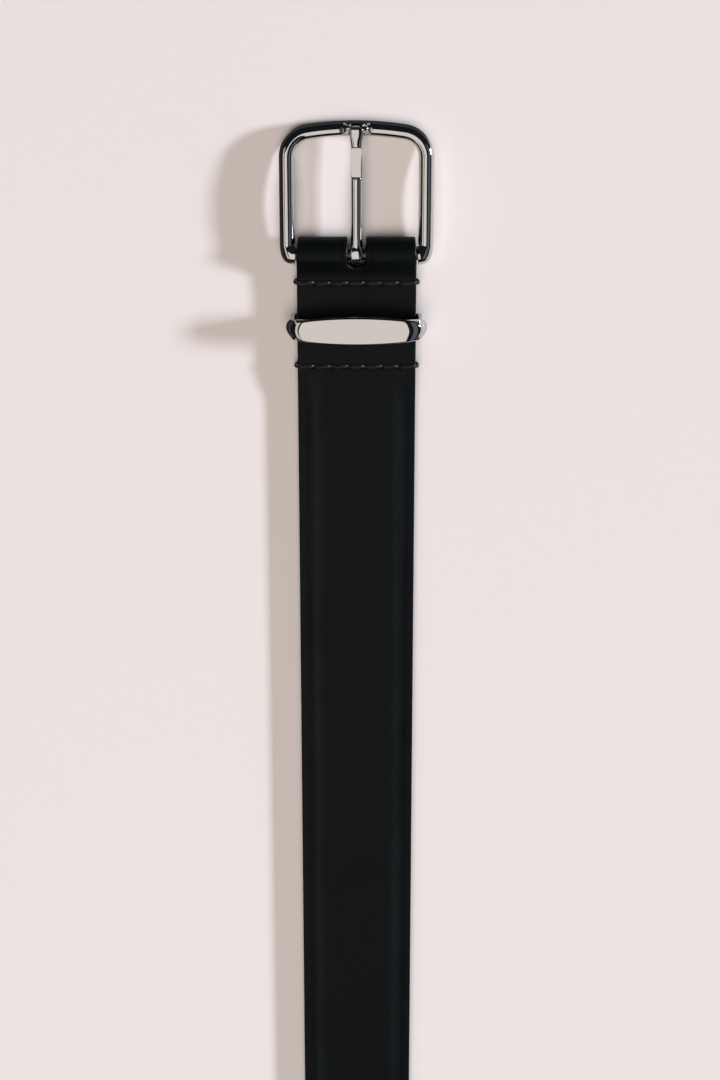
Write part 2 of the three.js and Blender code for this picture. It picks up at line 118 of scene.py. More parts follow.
class LeatherSettings(bpy.types.PropertyGroup):
    """Sizes and colours of the strap's plies."""

    edge: length("Edge rounding", "Radius of the finished edges", 0.5)
    crown_flat: length("Flat of the crown", "Strap edge to where the face is flat over the filler", 5.5)
    crown_edge: length("Edge of the crown", "Strap edge to where the face comes down to the lining", 1.5)
    tip: length("Tip rounding", "Length of the rounded end", 22)
    hole: length("Prong hole", "Diameter of a prong hole", 4.2)
    hole_pitch: length("Hole pitch", "Distance between two prong holes", 25)
    tip_past_holes: length("Tip past holes", "Last prong hole to the strap's end", 85)
    slot: length("Prong slot", "Width of the slot in the fold", 5.5)
    slot_reach: length("Slot reach", "Heel bar to the slot's end", 4.85)
    face: colour("Face leather", "Colour of the black calf", 0.0026, 0.0036, 0.0040)
    lining: colour("Lining leather", "Colour of the lining", 0.0105, 0.0092, 0.0085)
    filler: colour("Filler", "Colour of the felt between the plies", 0.02, 0.019, 0.018)


class ThreadSettings(bpy.types.PropertyGroup):
    """Sizes and colour of the stitching."""

    pitch: length("Stitch length", "Distance between two stitch holes", 5)
    sunk: length("Pull", "How far the thread pulls down at a hole", 0.62)
    dye: colour("Thread", "Colour of the waxed thread", 0.0045, 0.0048, 0.005)


class MetalSettings(bpy.types.PropertyGroup):
    """Sizes and colour of the buckle, prong and keeper."""

    rod: length("Frame rod", "Diameter of the buckle frame's section", 4.4)
    corner: length("Frame corner", "Radius of the section's middle line at a front corner", 7)
    bow: length("Front bow", "Radius of the front bar's bow", 92)
    arch: length("Frame arch", "How far the arms rise between their ends", 1.3)
    ear: length("Ear", "Radius of the ears that hold the heel bar", 3.3)
    seat_depth: length("Prong seat", "Depth of the saddle in the front bar", 1.4)
    seat_flare: length("Seat flare", "How far the saddle's ends run out", 2.6)
    prong_body: length("Prong body", "Width and thickness of the prong's body", 3.4)
    prong_tip: length("Prong tip", "Thickness of the prong's tip", 2.2)
    recess_start: length("Recess start", "Heel bar to the prong's flat recess", 23.2)
    recess_length: length("Recess length", "Length of the prong's flat recess", 8.4)
    recess_depth: length("Recess depth", "Depth of the prong's flat recess", 0.62)
    keeper_leg: length("Keeper leg", "Thickness of the keeper's legs", 1.1)
    keeper_width: length("Keeper leg width", "Width of the keeper's legs along the strap", 6)
    keeper_back: length("Keeper back", "Thickness of the keeper's bar behind the face leather", 0.7)
    keeper_plate: length("Keeper plate", "Thickness of the keeper's plate", 1.6)
    keeper_end: length("Keeper end width", "Width of the keeper's plate at its ends", 6.4)
    plating: colour("Plating", "Colour of the polished plating", 0.86, 0.85, 0.83)


class BeltSettings(bpy.types.PropertyGroup):
    """Everything that can be set on the belt."""

    leather: PointerProperty(type=LeatherSettings)
    thread: PointerProperty(type=ThreadSettings)
    metal: PointerProperty(type=MetalSettings)
    floor: colour("Floor", "Colour of the studio floor", 0.80, 0.735, 0.705)


# ---- Small helps
def smooth(value, low=0.0, high=1.0):
    """0 below low, 1 above high, and a smooth step between them."""
    t = min(max((value - low) / (high - low), 0.0), 1.0)
    return t * t * (3 - 2 * t)


def power(value, exponent):
    """A power that keeps the sign, for superellipses."""
    return math.copysign(abs(value) ** exponent, value)


def steps(low, high, step):
    """Evenly spaced values from low to high, both included, about one step apart."""
    return [float(v) for v in np.linspace(low, high, max(1, round(abs(high - low) / step)) + 1)]


def joined(*runs):
    """Several runs of values, end to end, sorted, with no value twice."""
    values = sorted(v for run in runs for v in run)
    return [v for i, v in enumerate(values) if i == 0 or v - values[i - 1] > 1e-6]


def grid(mesh, across, along, place):
    """Adds a grid to a bmesh, with the point of each column and row moved to place(column, row)."""
    made = bmesh.ops.create_grid(mesh, x_segments=len(across) - 1, y_segments=len(along) - 1, size=1)
    for index, vert in enumerate(made["verts"]):
        row, column = divmod(index, len(across))
        vert.co = place(across[column], along[row])


def tube(across, along, place):
    """A bmesh of a grid whose edges meet: a closed ring, or a rod that ends in points."""
    mesh = bmesh.new()
    grid(mesh, across, along, place)
    bmesh.ops.remove_doubles(mesh, verts=mesh.verts, dist=1e-7)
    ends = [edge for edge in mesh.edges if edge.is_boundary]
    if ends:
        bmesh.ops.holes_fill(mesh, edges=ends, sides=0)
    bmesh.ops.recalc_face_normals(mesh, faces=mesh.faces)
    return mesh


def piece(name, mesh, material, sharp=35):
    """The object of a finished bmesh, at the origin."""
    data = bpy.data.meshes.new(name)
    mesh.to_mesh(data)
    mesh.free()
    data.shade_smooth()
    data.set_sharp_from_angle(angle=math.radians(sharp))
    data.materials.append(material)
    made = bpy.data.objects.new(name, data)
    bpy.context.collection.objects.link(made)
    return made


def on_bar(x, y, z):
    """A point given from the heel bar's middle in y, and from the floor in z."""
    return Vector((x, BAR_Y + y, z))


# ---- Plies: laid out flat, opened, turned into solids and bent into place
EDGE_STEPS = (0, 0.08, 0.3, 0.62, 1.0)  # rings in a rounded edge, as shares of its radius
RING_STEPS = (3.2, 2.0, *reversed(EDGE_STEPS))  # rings round an opening, from its block of cells inwards
CELL = 1.0 * MM
BLOCK = 4 * CELL  # half the block of cells that an opening replaces
TOUCH = 0.001 * MM  # points nearer than this are one


def edge_drop(distance, radius):
    """How far a rounded edge lies below its flat, at a distance from the outline."""
    reach = max(radius - distance, 0.0)
    return radius - math.sqrt(max(radius * radius - reach * reach, 0.0))


def ply_columns(radius, half):
    """Columns across a ply: even cells in the middle, and fine ones in its rounded edges."""
    inner = half - radius
    rim = [half - radius * step for step in EDGE_STEPS]
    middle = steps(0, BLOCK, CELL / 2) + steps(BLOCK, inner, CELL)
    return joined([-v for v in rim + middle], rim + middle)


def opening(mesh, low, high, radius, edge):
    """Cuts a round-ended opening along y into a flat ply. low and high are the middles of its ends."""
    reach = BLOCK + TOUCH
    inside = set()
    for face in mesh.faces:
        middle = face.calc_center_median()
        if abs(middle.x) < reach and low - reach < middle.y < high + reach:
            inside.add(face)
    rim = [side for side in mesh.edges if sum(face in inside for face in side.link_faces) == 1]
    bmesh.ops.delete(mesh, geom=list(inside), context="FACES")
    for step in RING_STEPS:
        made = bmesh.ops.extrude_edge_only(mesh, edges=rim)["geom"]
        rim = [g for g in made if isinstance(g, bmesh.types.BMEdge)]
        for vert in (g for g in made if isinstance(g, bmesh.types.BMVert)):
            middle = Vector((0, min(max(vert.co.y, low), high), 0))
            outward = (vert.co - middle).normalized()
            vert.co = middle + outward * (radius + edge * step)


def round_tip(mesh, start, reach):
    """Spins the half of the last row about its middle, and stretches it into a rounded end."""
    verts = [vert for vert in mesh.verts if abs(vert.co.y - start) < TOUCH and vert.co.x > -TOUCH]
    row = [edge for edge in mesh.edges if all(vert in verts for vert in edge.verts)]
    middle = (0, start, 0)
    turn = {"cent": middle, "axis": (0, 0, 1), "angle": -math.pi}
    bmesh.ops.spin(mesh, geom=row + verts, steps=TIP_STEPS, use_merge=False, **turn)
    for vert in mesh.verts:
        if vert.co.y < start - TOUCH / 10:
            vert.co.y = start + (vert.co.y - start) * reach / HALF


def solid_ply(mesh, heights, place):
    """Gives a flat ply its thickness and bends it: heights(x, y) are its underside and its top there."""
    bmesh.ops.remove_doubles(mesh, verts=mesh.verts, dist=TOUCH)
    top = list(mesh.verts)
    flat = [vert.co.copy() for vert in top]
    made = bmesh.ops.extrude_face_region(mesh, geom=mesh.faces[:], use_keep_orig=True)["geom"]
    under = [g for g in made if isinstance(g, bmesh.types.BMVert)]
    for vert in under:
        vert.co = place(vert.co.x, vert.co.y, heights(vert.co.x, vert.co.y)[0])
    for vert, co in zip(top, flat):
        vert.co = place(co.x, co.y, heights(co.x, co.y)[1])
    bmesh.ops.recalc_face_normals(mesh, faces=mesh.faces)
    return mesh


# ---- The strap's plies, in spans that each reach over one joint
SEAM_Y = [(a + b) / 2 for a, b in zip(BEND_Y, BEND_Y[1:])]
PLY_RISE = FILLER_TOP - LINING_TOP
FACE_THICKNESS = STRAP_TOP - FILLER_TOP
CROWN_FADE = (35.5 * MM, 47 * MM)  # behind the heel bar, where the crown comes in
HOLES = 5
TIP_STEPS = 36
SPAN_STEP = 2.5 * MM


def crown(settings, x, y):
    """How far the face has come down at its shoulders, from 0 on the flat to 1 at the edge."""
    down = smooth(abs(x), HALF - settings.crown_flat, HALF - settings.crown_edge)
    return down * smooth(-y, *CROWN_FADE)


def tip_start(settings):
    """Where the rounded end begins, measured from the heel bar."""
    return TIP_Y + settings.tip - BAR_Y


def hole_places(settings):
    """The prong holes' places, measured from the heel bar."""
    last = TIP_Y + settings.tip_past_holes - BAR_Y
    return [last + i * settings.hole_pitch for i in range(HOLES)]


def rim_distance(settings, x, y, inset=0.0):
    """The distance from a point of a flat ply to its side or its rounded end."""
    half = HALF - inset
    past = max(tip_start(settings) - y, 0.0) / (settings.tip - inset)
    return (1 - math.hypot(x / half, past)) * half if past else half - abs(x)


def hole_distance(settings, x, y):
    """The distance from a point of a flat ply to the nearest prong hole's rim."""
    return min(math.hypot(x, y - place) for place in hole_places(settings)) - settings.hole / 2


def bend_spans(front):
    """For each joint: its span's front and rear, measured from the heel bar, and its place."""
    edges = [front] + [y - BAR_Y for y in SEAM_Y] + [None]
    return list(zip(edges, edges[1:], BENDS))


def bend(obj, joint):
    """Bakes a span's placement into its mesh."""
    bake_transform(obj)


def strap_nodes(kind, index):
    """The nodes that a span stands for: its own, and the last one too at the tip."""
    last = [index + 2] if index + 1 == len(BENDS) else []
    return [f"{kind}_{number}" for number in [index + 1] + last]


def span_rows(low, high, holes):
    """Rows along a span, with a block of even cells round each hole."""
    blocks = [steps(y - BLOCK, y + BLOCK, CELL) for y in holes]
    clear = BLOCK + CELL / 2
    far = [y for y in steps(low, high, SPAN_STEP) if all(abs(y - hole) > clear for hole in holes)]
    return joined([low, high], far, *blocks)


def flat_ply(settings, front, rear):
    """A flat ply from front to rear. Without a rear it runs to the tip, with its holes and rounded end."""
    mesh = bmesh.new()
    holes = hole_places(settings) if rear is None else []
    rows = span_rows(tip_start(settings) if rear is None else rear, front, holes)
    grid(mesh, ply_columns(settings.edge, HALF), rows, lambda x, y: Vector((x, y, 0)))
    for y in holes:
        opening(mesh, y, y, settings.hole / 2, settings.edge / 2)
    if rear is None:
        round_tip(mesh, tip_start(settings), settings.tip)
    return mesh


def face_heights(settings, x, y):
    """Underside and top of the face leather, away from the fold."""
    down = crown(settings, x, y) * PLY_RISE
    drop = edge_drop(rim_distance(settings, x, y), settings.edge)
    if y < hole_places(settings)[-1] + BLOCK:
        drop = max(drop, edge_drop(hole_distance(settings, x, y), settings.edge / 2))
    return FILLER_TOP - down + drop / 2, STRAP_TOP - down - drop


# ---- The fold
JOIN = 7 * MM  # heel bar to where the tab meets the face
LOOP_GAP = 0.2 * MM  # leather to bar
LOOP_STEP = 0.03  # angle between two points of the loop
LOOP_NARROWING = 0.022
HEEL_BEND = 2.2 * MM  # length of the soft bend behind the loop
TAB = LINING_TOP
TAB_END = LINING_FRONT - BAR_Y + 0.15 * MM
TAB_SKIVE = 6 * MM
POCKET = (FILLER_FRONT - BAR_Y, ROWS[0] - BAR_Y - 3 * MM)  # rear and front of the keeper's way
POCKET_STEP = 0.2 * MM
JOIN_FADE = (-8 * MM, -4.5 * MM)
DENT_REACH = 3 * MM
GROOVE_SIDE = (0.4 * MM, 1.1 * MM)
FACE_GROOVE = 0.12 * MM
TAB_GROOVE = 0.66 * MM
HOLE_DENT = 0.32 * MM
HOLE_DENT_WIDTH = 0.75 * MM
ROW_BLOCK = 2.1 * MM  # fine cells on each side of a stitch row
ROW_STEP = 0.3 * MM
QUARTER = math.pi / 2


def round_bar(reach, rise, angle):
    """A point round the heel bar in the strap's side view, on an ellipse of this reach and rise."""
    return Vector((reach * math.cos(angle), BAR_Z + rise * math.sin(angle)))


class Route:
    """The outside of the fold, seen from the side: from the strap's top, round the bar and back below."""

    def __init__(self, start):
        inner = BAR_RADIUS + LOOP_GAP
        outer = inner + FACE_THICKNESS
        toward = math.atan2(TAB - BAR_Z, -JOIN)
        leave = toward - math.acos(inner / math.hypot(JOIN, TAB - BAR_Z)) + 2 * math.pi
        foot = round_bar(outer, outer, leave)
        slope = Vector((-math.sin(leave), math.cos(leave)))
        corner = foot + slope * ((foot.y - STRAP_TOP) / -slope.y)
        before = Vector((corner.x - HEEL_BEND, STRAP_TOP))
        after = corner - slope * HEEL_BEND
        points = [Vector((start, STRAP_TOP)), before]
        for t in steps(0, 1, 0.05)[1:]:
            points.append(before * (1 - t) ** 2 + corner * 2 * t * (1 - t) + after * t * t)
        points += [round_bar(outer, outer, angle) for angle in steps(leave, QUARTER, LOOP_STEP)]
        front = FOLD_FRONT - BAR_Y
        points += [round_bar(front, outer, angle) for angle in steps(QUARTER, 0, LOOP_STEP)[1:]]
        points += [round_bar(front, BAR_Z, angle) for angle in steps(0, -QUARTER, LOOP_STEP)[1:]]
        points.append(Vector((TAB_END, 0)))
        self.points = np.array(points)
        lengths = np.hypot(*np.diff(self.points, axis=0).T)
        self.along = start + np.concatenate([[0], np.cumsum(lengths)])
        self.end = self.along[-1]

    def at(self, s):
        """The point at a distance along the route, and its outward direction, in the strap's side view."""
        def spot(v):
            return np.array([np.interp(v, self.along, self.points[:, i]) for i in (0, 1)])

        reach = 0.15 * MM
        ahead = spot(min(s + reach, self.end))
        behind = spot(max(s - reach, self.along[0]))
        tangent = (ahead - behind) / np.linalg.norm(ahead - behind)
        return spot(s), np.array([-tangent[1], tangent[0]])

    def under(self, y):
        """The distance along the route of a place below the bar."""
        return self.end - (y - TAB_END)

    def over(self, y):
        """The distance along the route of a place on top of the bar's back."""
        top = self.points[:, 1] > BAR_Z
        return float(np.interp(y, self.points[top, 0], self.along[top]))


def stitch_places(settings):
    """The stitch holes' places across the strap."""
    count = round(2 * HALF / settings.pitch)
    return [(i + 1 - count / 2) * 2 * HALF / count for i in range(count - 1)]


def stitch_dent(threads, x, s, rows, groove):
    """How deep the leather lies below its surface along the stitch rows."""
    near = min(abs(s - row) for row in rows)
    if near > DENT_REACH:
        return 0.0
    hole = min(math.hypot(x - place, near) for place in stitch_places(threads))
    along_row = groove * (1 - smooth(near, *GROOVE_SIDE))
    return along_row + HOLE_DENT * math.exp(-((hole / HOLE_DENT_WIDTH) ** 2))


def fold_cells(settings, route, rear, slot, rows):
    """Columns and rows of the first span: even cells round the slot, and fine ones along the stitching."""
    block = (slot[0] - BLOCK, slot[1] + BLOCK)
    fine_from = -CROWN_FADE[1] - CELL
    along = joined(
        steps(rear, fine_from, 3 * CELL),
        steps(fine_from, block[0], CELL),
        steps(*block, 0.4 * CELL),
        steps(block[1], route.end, CELL),
    )
    clear = [s for s in along if all(abs(s - row) > ROW_BLOCK + 0.2 * MM for row in rows)]
    fine = [steps(row - ROW_BLOCK, row + ROW_BLOCK, ROW_STEP) for row in rows]
    kept = [x for x in ply_columns(settings.edge, HALF) if abs(x) < BLOCK + TOUCH or abs(x) > HALF - CELL]
    beside = steps(BLOCK, HALF - settings.edge, CELL / 2)
    return joined(kept, beside, [-x for x in beside]), joined(clear, *fine)


def folded_face(settings, threads, rear):
    """The first span of face leather: the strap's run, the fold with its slot, and the tab below."""
    route = Route(rear)
    tops = [row - BAR_Y for row in ROWS]
    unders = [route.under(y) for y in tops]
    slot_end = settings.slot / 2 - settings.slot_reach
    slot = (route.over(slot_end), route.under(slot_end))
    mesh = bmesh.new()
    columns, rows = fold_cells(settings, route, rear, slot, tops + unders)
    grid(mesh, columns, rows, lambda x, s: Vector((x, s, 0)))
    opening(mesh, *slot, settings.slot / 2, settings.edge)

    def heights(x, s):
        middle = Vector((0, min(max(s, slot[0]), slot[1])))
        to_slot = (Vector((x, s)) - middle).length - settings.slot / 2
        drop = edge_drop(min(HALF - abs(x), to_slot, route.end - s), settings.edge)
        if s < 0:
            dent = stitch_dent(threads, x, s, tops, FACE_GROOVE)
        else:
            dent = stitch_dent(threads, x, s, unders, TAB_GROOVE)
        if s > slot[0]:
            down = 0
            depth = FACE_THICKNESS + (TAB - FACE_THICKNESS) * smooth(s, slot[1] - TAB_SKIVE, slot[1])
        else:
            down = crown(settings, x, s) * PLY_RISE
            joins = smooth(s, POCKET[1] - POCKET_STEP, POCKET[1]) * (1 - smooth(s, *JOIN_FADE))
            skived = smooth(abs(x), HALF - settings.crown_flat, HALF - settings.crown_edge)
            skived *= smooth(-s, -POCKET[0], POCKET_STEP - POCKET[0])
            depth = FACE_THICKNESS + PLY_RISE * max(joins, skived)
        return -depth + drop / 2, -down - drop - dent

    def place(x, s, height):
        point, outward = route.at(s)
        y, z = point + outward * height
        narrow = 1 - LOOP_NARROWING * smooth(y, -1 * MM, 5 * MM)
        return on_bar(x * narrow, y, z)

    return solid_ply(mesh, heights, place)


# ---- The plies' operators
class BELT_OT_face_leather(bpy.types.Operator):
    """Makes the face leather in spans: the fold round the heel bar, the run with its crown, and the tip"""

    bl_idname = "belt.face_leather"
    bl_label = "Face leather"

    def execute(self, context):
        settings, threads = context.scene.belt.leather, context.scene.belt.thread
        material = face_material(settings)
        for index, (front, rear, joint) in enumerate(bend_spans(None)):
            if front is None:
                mesh = folded_face(settings, threads, rear)
            else:
                flat = flat_ply(settings, front, rear)
                mesh = solid_ply(flat, lambda x, y: face_heights(settings, x, y), on_bar)
            made = piece(f"face_span_{index + 1}", mesh, material, sharp=60)
            bend(made, joint)
            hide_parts(*strap_nodes("face_leather", index))
        return {"FINISHED"}


class BELT_OT_filler(bpy.types.Operator):
    """Makes the felt filler between the plies, skived to nothing at its edges"""

    bl_idname = "belt.filler"
    bl_label = "Filler"

    def execute(self, context):
        settings = context.scene.belt.leather
        material = filler_material(settings)
        skin = 0.04 * MM  # clearance to the plies above and below

        def heights(x, y):
            flat = 1 - smooth(abs(x), HALF - settings.crown_flat, FILLER_HALF)
            hole = hole_distance(settings, x, y) if y < hole_places(settings)[-1] + BLOCK else CELL
            top = LINING_TOP + skin + (PLY_RISE - 2 * skin) * flat
            return LINING_TOP + skin / 2, top - skin * smooth(-hole, -skin, 0)

        for index, (front, rear, joint) in enumerate(bend_spans(FILLER_FRONT - BAR_Y)):
            mesh = bmesh.new()
            low = FILLER_REAR - BAR_Y if rear is None else rear
            holes = hole_places(settings) if rear is None else []
            rows = span_rows(low, front, holes)
            grid(mesh, ply_columns(CELL, FILLER_HALF), rows, lambda x, y: Vector((x, y, 0)))
            for y in holes:
                opening(mesh, y, y, settings.hole / 2, settings.edge / 2)
            made = piece(f"filler_span_{index + 1}", solid_ply(mesh, heights, on_bar), material)
            bend(made, joint)
            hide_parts(*strap_nodes("filler", index))
        return {"FINISHED"}


class BELT_OT_lining(bpy.types.Operator):
    """Makes the lining leather under the strap, from the tab of the fold to the tip"""

    bl_idname = "belt.lining"
    bl_label = "Lining leather"

    def execute(self, context):
        settings = context.scene.belt.leather
        material = lining_material(settings)
        front_end = LINING_FRONT - BAR_Y
        rounding = settings.edge * 0.8

        def heights(x, y):
            drop = edge_drop(rim_distance(settings, x, y), rounding)
            if y < hole_places(settings)[-1] + BLOCK:
                drop = max(drop, edge_drop(hole_distance(settings, x, y), settings.edge / 2))
            if y > front_end - CELL:
                drop = max(drop, edge_drop(front_end - y, rounding))
            return drop, LINING_TOP - drop / 2

        for index, (front, rear, joint) in enumerate(bend_spans(front_end)):
            mesh = solid_ply(flat_ply(settings, front, rear), heights, on_bar)
            made = piece(f"lining_span_{index + 1}", mesh, material, sharp=60)
            bend(made, joint)
            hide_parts(*strap_nodes("lining_leather", index))
        return {"FINISHED"}


# ---- Stitching
THREAD_RADIUS = THREAD_SIZE / 2
THREAD_ROUND = 0.96  # the thread's section against its radius, so that its lumps stay inside
THREAD_BOTTOM = THREAD_LOW + 0.25 * MM
THREAD_FLATTENED = 0.46  # how much of its height it loses under the strap
THREAD_TURN = 1.1 * MM
THREAD_SIDES = 14
PULL_WIDTH = 0.62 * MM
PULL_BELOW = 0.1 * MM
LUMPS = 0.06
SLANT = 0.1 * MM


def thread_path(settings):
    """The middle of a row's thread, across and up: over the face, round an edge, back below and up."""
    top = THREAD_HIGH - THREAD_RADIUS
    low = THREAD_BOTTOM
    side = THREAD_REACH - THREAD_RADIUS * THREAD_ROUND
    turn = THREAD_TURN
    corner = [(turn * (1 - math.sin(a)), turn * (1 - math.cos(a))) for a in steps(0, 1.57, 0.2)[1:]]

    def pull(x):
        return max(math.exp(-(((x - hole) / PULL_WIDTH) ** 2)) for hole in stitch_places(settings))

    face = [(x, top - settings.sunk * pull(x)) for x in steps(side - turn, turn - side, 0.2 * MM)]
    down = [(across - side, top - fall) for across, fall in corner]
    down += [(-side, z) for z in steps(top - turn, low + turn, 0.3 * MM)[1:]]
    down += [(fall - side, low + across) for across, fall in corner]
    below = [(x, low + PULL_BELOW * pull(x)) for x in steps(turn - side, side - turn, 0.25 * MM)[1:]]
    up = [(-x, z) for x, z in reversed(down)][1:]
    return [Vector(point) for point in face + down + below + up + face[:1]]


class BELT_OT_stitching(bpy.types.Operator):
    """Makes each row of stitching: one waxed thread, pulled down at its holes and round both edges"""

    bl_idname = "belt.stitching"
    bl_label = "Stitching"

    def execute(self, context):
        settings = context.scene.belt.thread
        material = thread_material(settings)
        spots = thread_path(settings)
        angles = steps(0, 2 * math.pi, 2 * math.pi / THREAD_SIDES)
        for number, (name, row) in enumerate(zip(("front", "rear"), ROWS)):

            def place(angle, index, row=row, number=number):
                spot = spots[index]
                before = spots[index - 1] if index else spots[-2]
                after = spots[index + 1] if index + 1 < len(spots) else spots[1]
                along = (after - before).normalized()
                under = smooth(FILLER_TOP - spot.y, 0, FILLER_TOP - THREAD_BOTTOM)
                lump = 1 + LUMPS * math.sin(index * 0.9 + number)
                across = math.cos(angle) * THREAD_RADIUS * THREAD_ROUND * lump
                deep = math.sin(angle) * THREAD_RADIUS * (1 - THREAD_FLATTENED * under) * lump
                slant = SLANT * math.sin(2 * math.pi * spot.x / settings.pitch) * (1 - under)
                return Vector((spot.x + along.y * deep, row + across + slant, spot.y - along.x * deep))

            mesh = tube(angles, list(range(len(spots))), place)
            made = piece(f"thread_{name}", mesh, material, sharp=80)
            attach(made, "buckle_end")
            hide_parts(f"stitch_row_{name}")
        return {"FINISHED"}


# ---- Metal
EAR_PROUD = 0.3 * MM  # how far an ear stands out past its arm
EAR_SQUARE = 2.7  # how square an ear is; 2 is round
SEAT_RIM = 1 * MM
SEAT_REACH = 6 * MM  # half the length of the front bar with close sections
FRAME_SIDES = 48


def frame_height(settings, y):
    """The height of the frame's middle line: level at both ends, arched between."""
    share = min(max(y / (FRAME_FRONT - settings.rod / 2), 0), 1)
    front = settings.rod / 2
    return BAR_Z + (front - BAR_Z) * share + 4 * settings.arch * share * (1 - share)


def frame_stations(settings):
    """The frame's sections from ear to ear: middle, outward direction, and half width and height."""
    rod = settings.rod
    ear = settings.ear
    arm_x = FRAME_OUT - EAR_PROUD - rod / 2
    corner_x = arm_x - settings.corner
    bow_y = FRAME_FRONT - rod / 2 - settings.bow
    corner_y = bow_y + math.sqrt((settings.bow - settings.corner) ** 2 - corner_x**2)
    turn = math.atan2(corner_y - bow_y, corner_x)
    half = []
    for angle in steps(QUARTER, 0, 0.12):
        across = math.cos(angle) / rod
        down = math.sin(angle) / (2 * ear)
        wide = (across**EAR_SQUARE + down**EAR_SQUARE) ** (-1 / EAR_SQUARE)
        out = Vector((math.cos(angle), -math.sin(angle)))
        high = rod / 2 + (ear - rod / 2) * smooth(angle, 0, 1.45)
        half.append((Vector((arm_x - rod / 2, ear)) + out * wide / 2, out, wide / 2, high))

    def add_arc(x, y, radius, angles):
        for angle in angles:
            out = Vector((math.cos(angle), math.sin(angle)))
            half.append((Vector((x, y)) + out * radius, out, rod / 2, rod / 2))

    for y in steps(ear, corner_y, 1.2 * MM)[1:]:
        add_arc(arm_x, y, 0, [0])
    add_arc(corner_x, corner_y, settings.corner, steps(0, turn, 0.09)[1:])
    seat = QUARTER - SEAT_REACH / settings.bow
    fine = steps(seat, QUARTER, 0.2 * MM / settings.bow)
    add_arc(0, bow_y, settings.bow, joined(steps(turn, seat, 0.01), fine)[1:])
    other = [(Vector((-m.x, m.y)), Vector((-o.x, o.y)), w, h) for m, o, w, h in reversed(half[:-1])]
    return half + other


class BELT_OT_buckle_frame(bpy.types.Operator):
    """Makes the buckle's frame: one polished rod from ear to ear, with a saddle for the prong"""

    bl_idname = "belt.buckle_frame"
    bl_label = "Buckle frame"

    def execute(self, context):
        settings = context.scene.belt.metal
        stations = frame_stations(settings)
        seat_half = PRONG_HALF + 0.25 * MM
        rim = FRAME_FRONT - SEAT_RIM

        def place(angle, index):
            middle, out, wide, high = stations[index]
            spot = middle + out * wide * math.cos(angle)
            z = frame_height(settings, middle.y) + high * math.sin(angle)
            if abs(spot.x) < seat_half + settings.seat_flare and spot.y > rim - 2 * settings.rod:
                flare = smooth(abs(spot.x), seat_half - 0.4 * MM, seat_half + settings.seat_flare)
                edge = smooth(spot.y - rim, -0.2 * MM, 0.5 * MM)
                z -= settings.seat_depth * (1 - max(flare, edge)) * max(math.sin(angle), 0)
            return on_bar(spot.x, spot.y, z)

        mesh = tube(steps(0, 2 * math.pi, 2 * math.pi / FRAME_SIDES), list(range(len(stations))), place)
        made = piece("polished_frame", mesh, metal_material(settings), sharp=40)
        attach(made, "buckle")
        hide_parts("buckle_frame")
        return {"FINISHED"}


class BELT_OT_heel_bar(bpy.types.Operator):
    """Makes the heel bar that the strap folds round, with its ends chamfered inside the ears"""

    bl_idname = "belt.heel_bar"
    bl_label = "Heel bar"

    def execute(self, context):
        chamfer = 0.4 * MM
        ends = [(-BAR_HALF, 0), (-BAR_HALF, BAR_RADIUS - chamfer), (chamfer - BAR_HALF, BAR_RADIUS)]
        line = ends + [(-x, radius) for x, radius in reversed(ends)]
        angles = steps(0, 2 * math.pi, math.pi / 20)

        def place(angle, index):
            x, radius = line[index]
            return on_bar(x, radius * math.cos(angle), BAR_Z + radius * math.sin(angle))

        mesh = tube(angles, list(range(len(line))), place)
        made = piece("heel_rod", mesh, bar_material(context.scene.belt.metal))
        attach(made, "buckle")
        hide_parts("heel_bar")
        return {"FINISHED"}


def united(first, second):
    """One closed bmesh of two that overlap."""
    pair = []
    for mesh in (first, second):
        data = bpy.data.meshes.new("part")
        mesh.to_mesh(data)
        mesh.free()
        pair.append(bpy.data.objects.new("part", data))
        bpy.context.collection.objects.link(pair[-1])
    union = pair[0].modifiers.new("union", "BOOLEAN")
    union.operation = "UNION"
    union.object = pair[1]
    union.solver = "EXACT"
    bpy.context.view_layer.update()
    mesh = bmesh.new()
    mesh.from_mesh(pair[0].evaluated_get(bpy.context.evaluated_depsgraph_get()).to_mesh())
    for obj in pair:
        bpy.data.objects.remove(obj)
    bmesh.ops.remove_doubles(mesh, verts=mesh.verts, dist=TOUCH)
    return mesh


NECK = (3 * MM, 1.5 * MM, 0.42 * MM)  # where the prong dips behind its eye, how long and how deep
EYE_WALL = 0.55 * MM
DOME = 0.7 * MM
HEAD = 4 * MM  # length over which the body widens into the tip
RECESS_SLOPE = 0.55 * MM
RECESS_HOLLOW = 0.02 * MM
BODY_SQUARE = 0.92  # powers below 1 make a section squarer
HEAD_SQUARE = 0.62
EYE_SQUARE = 0.72


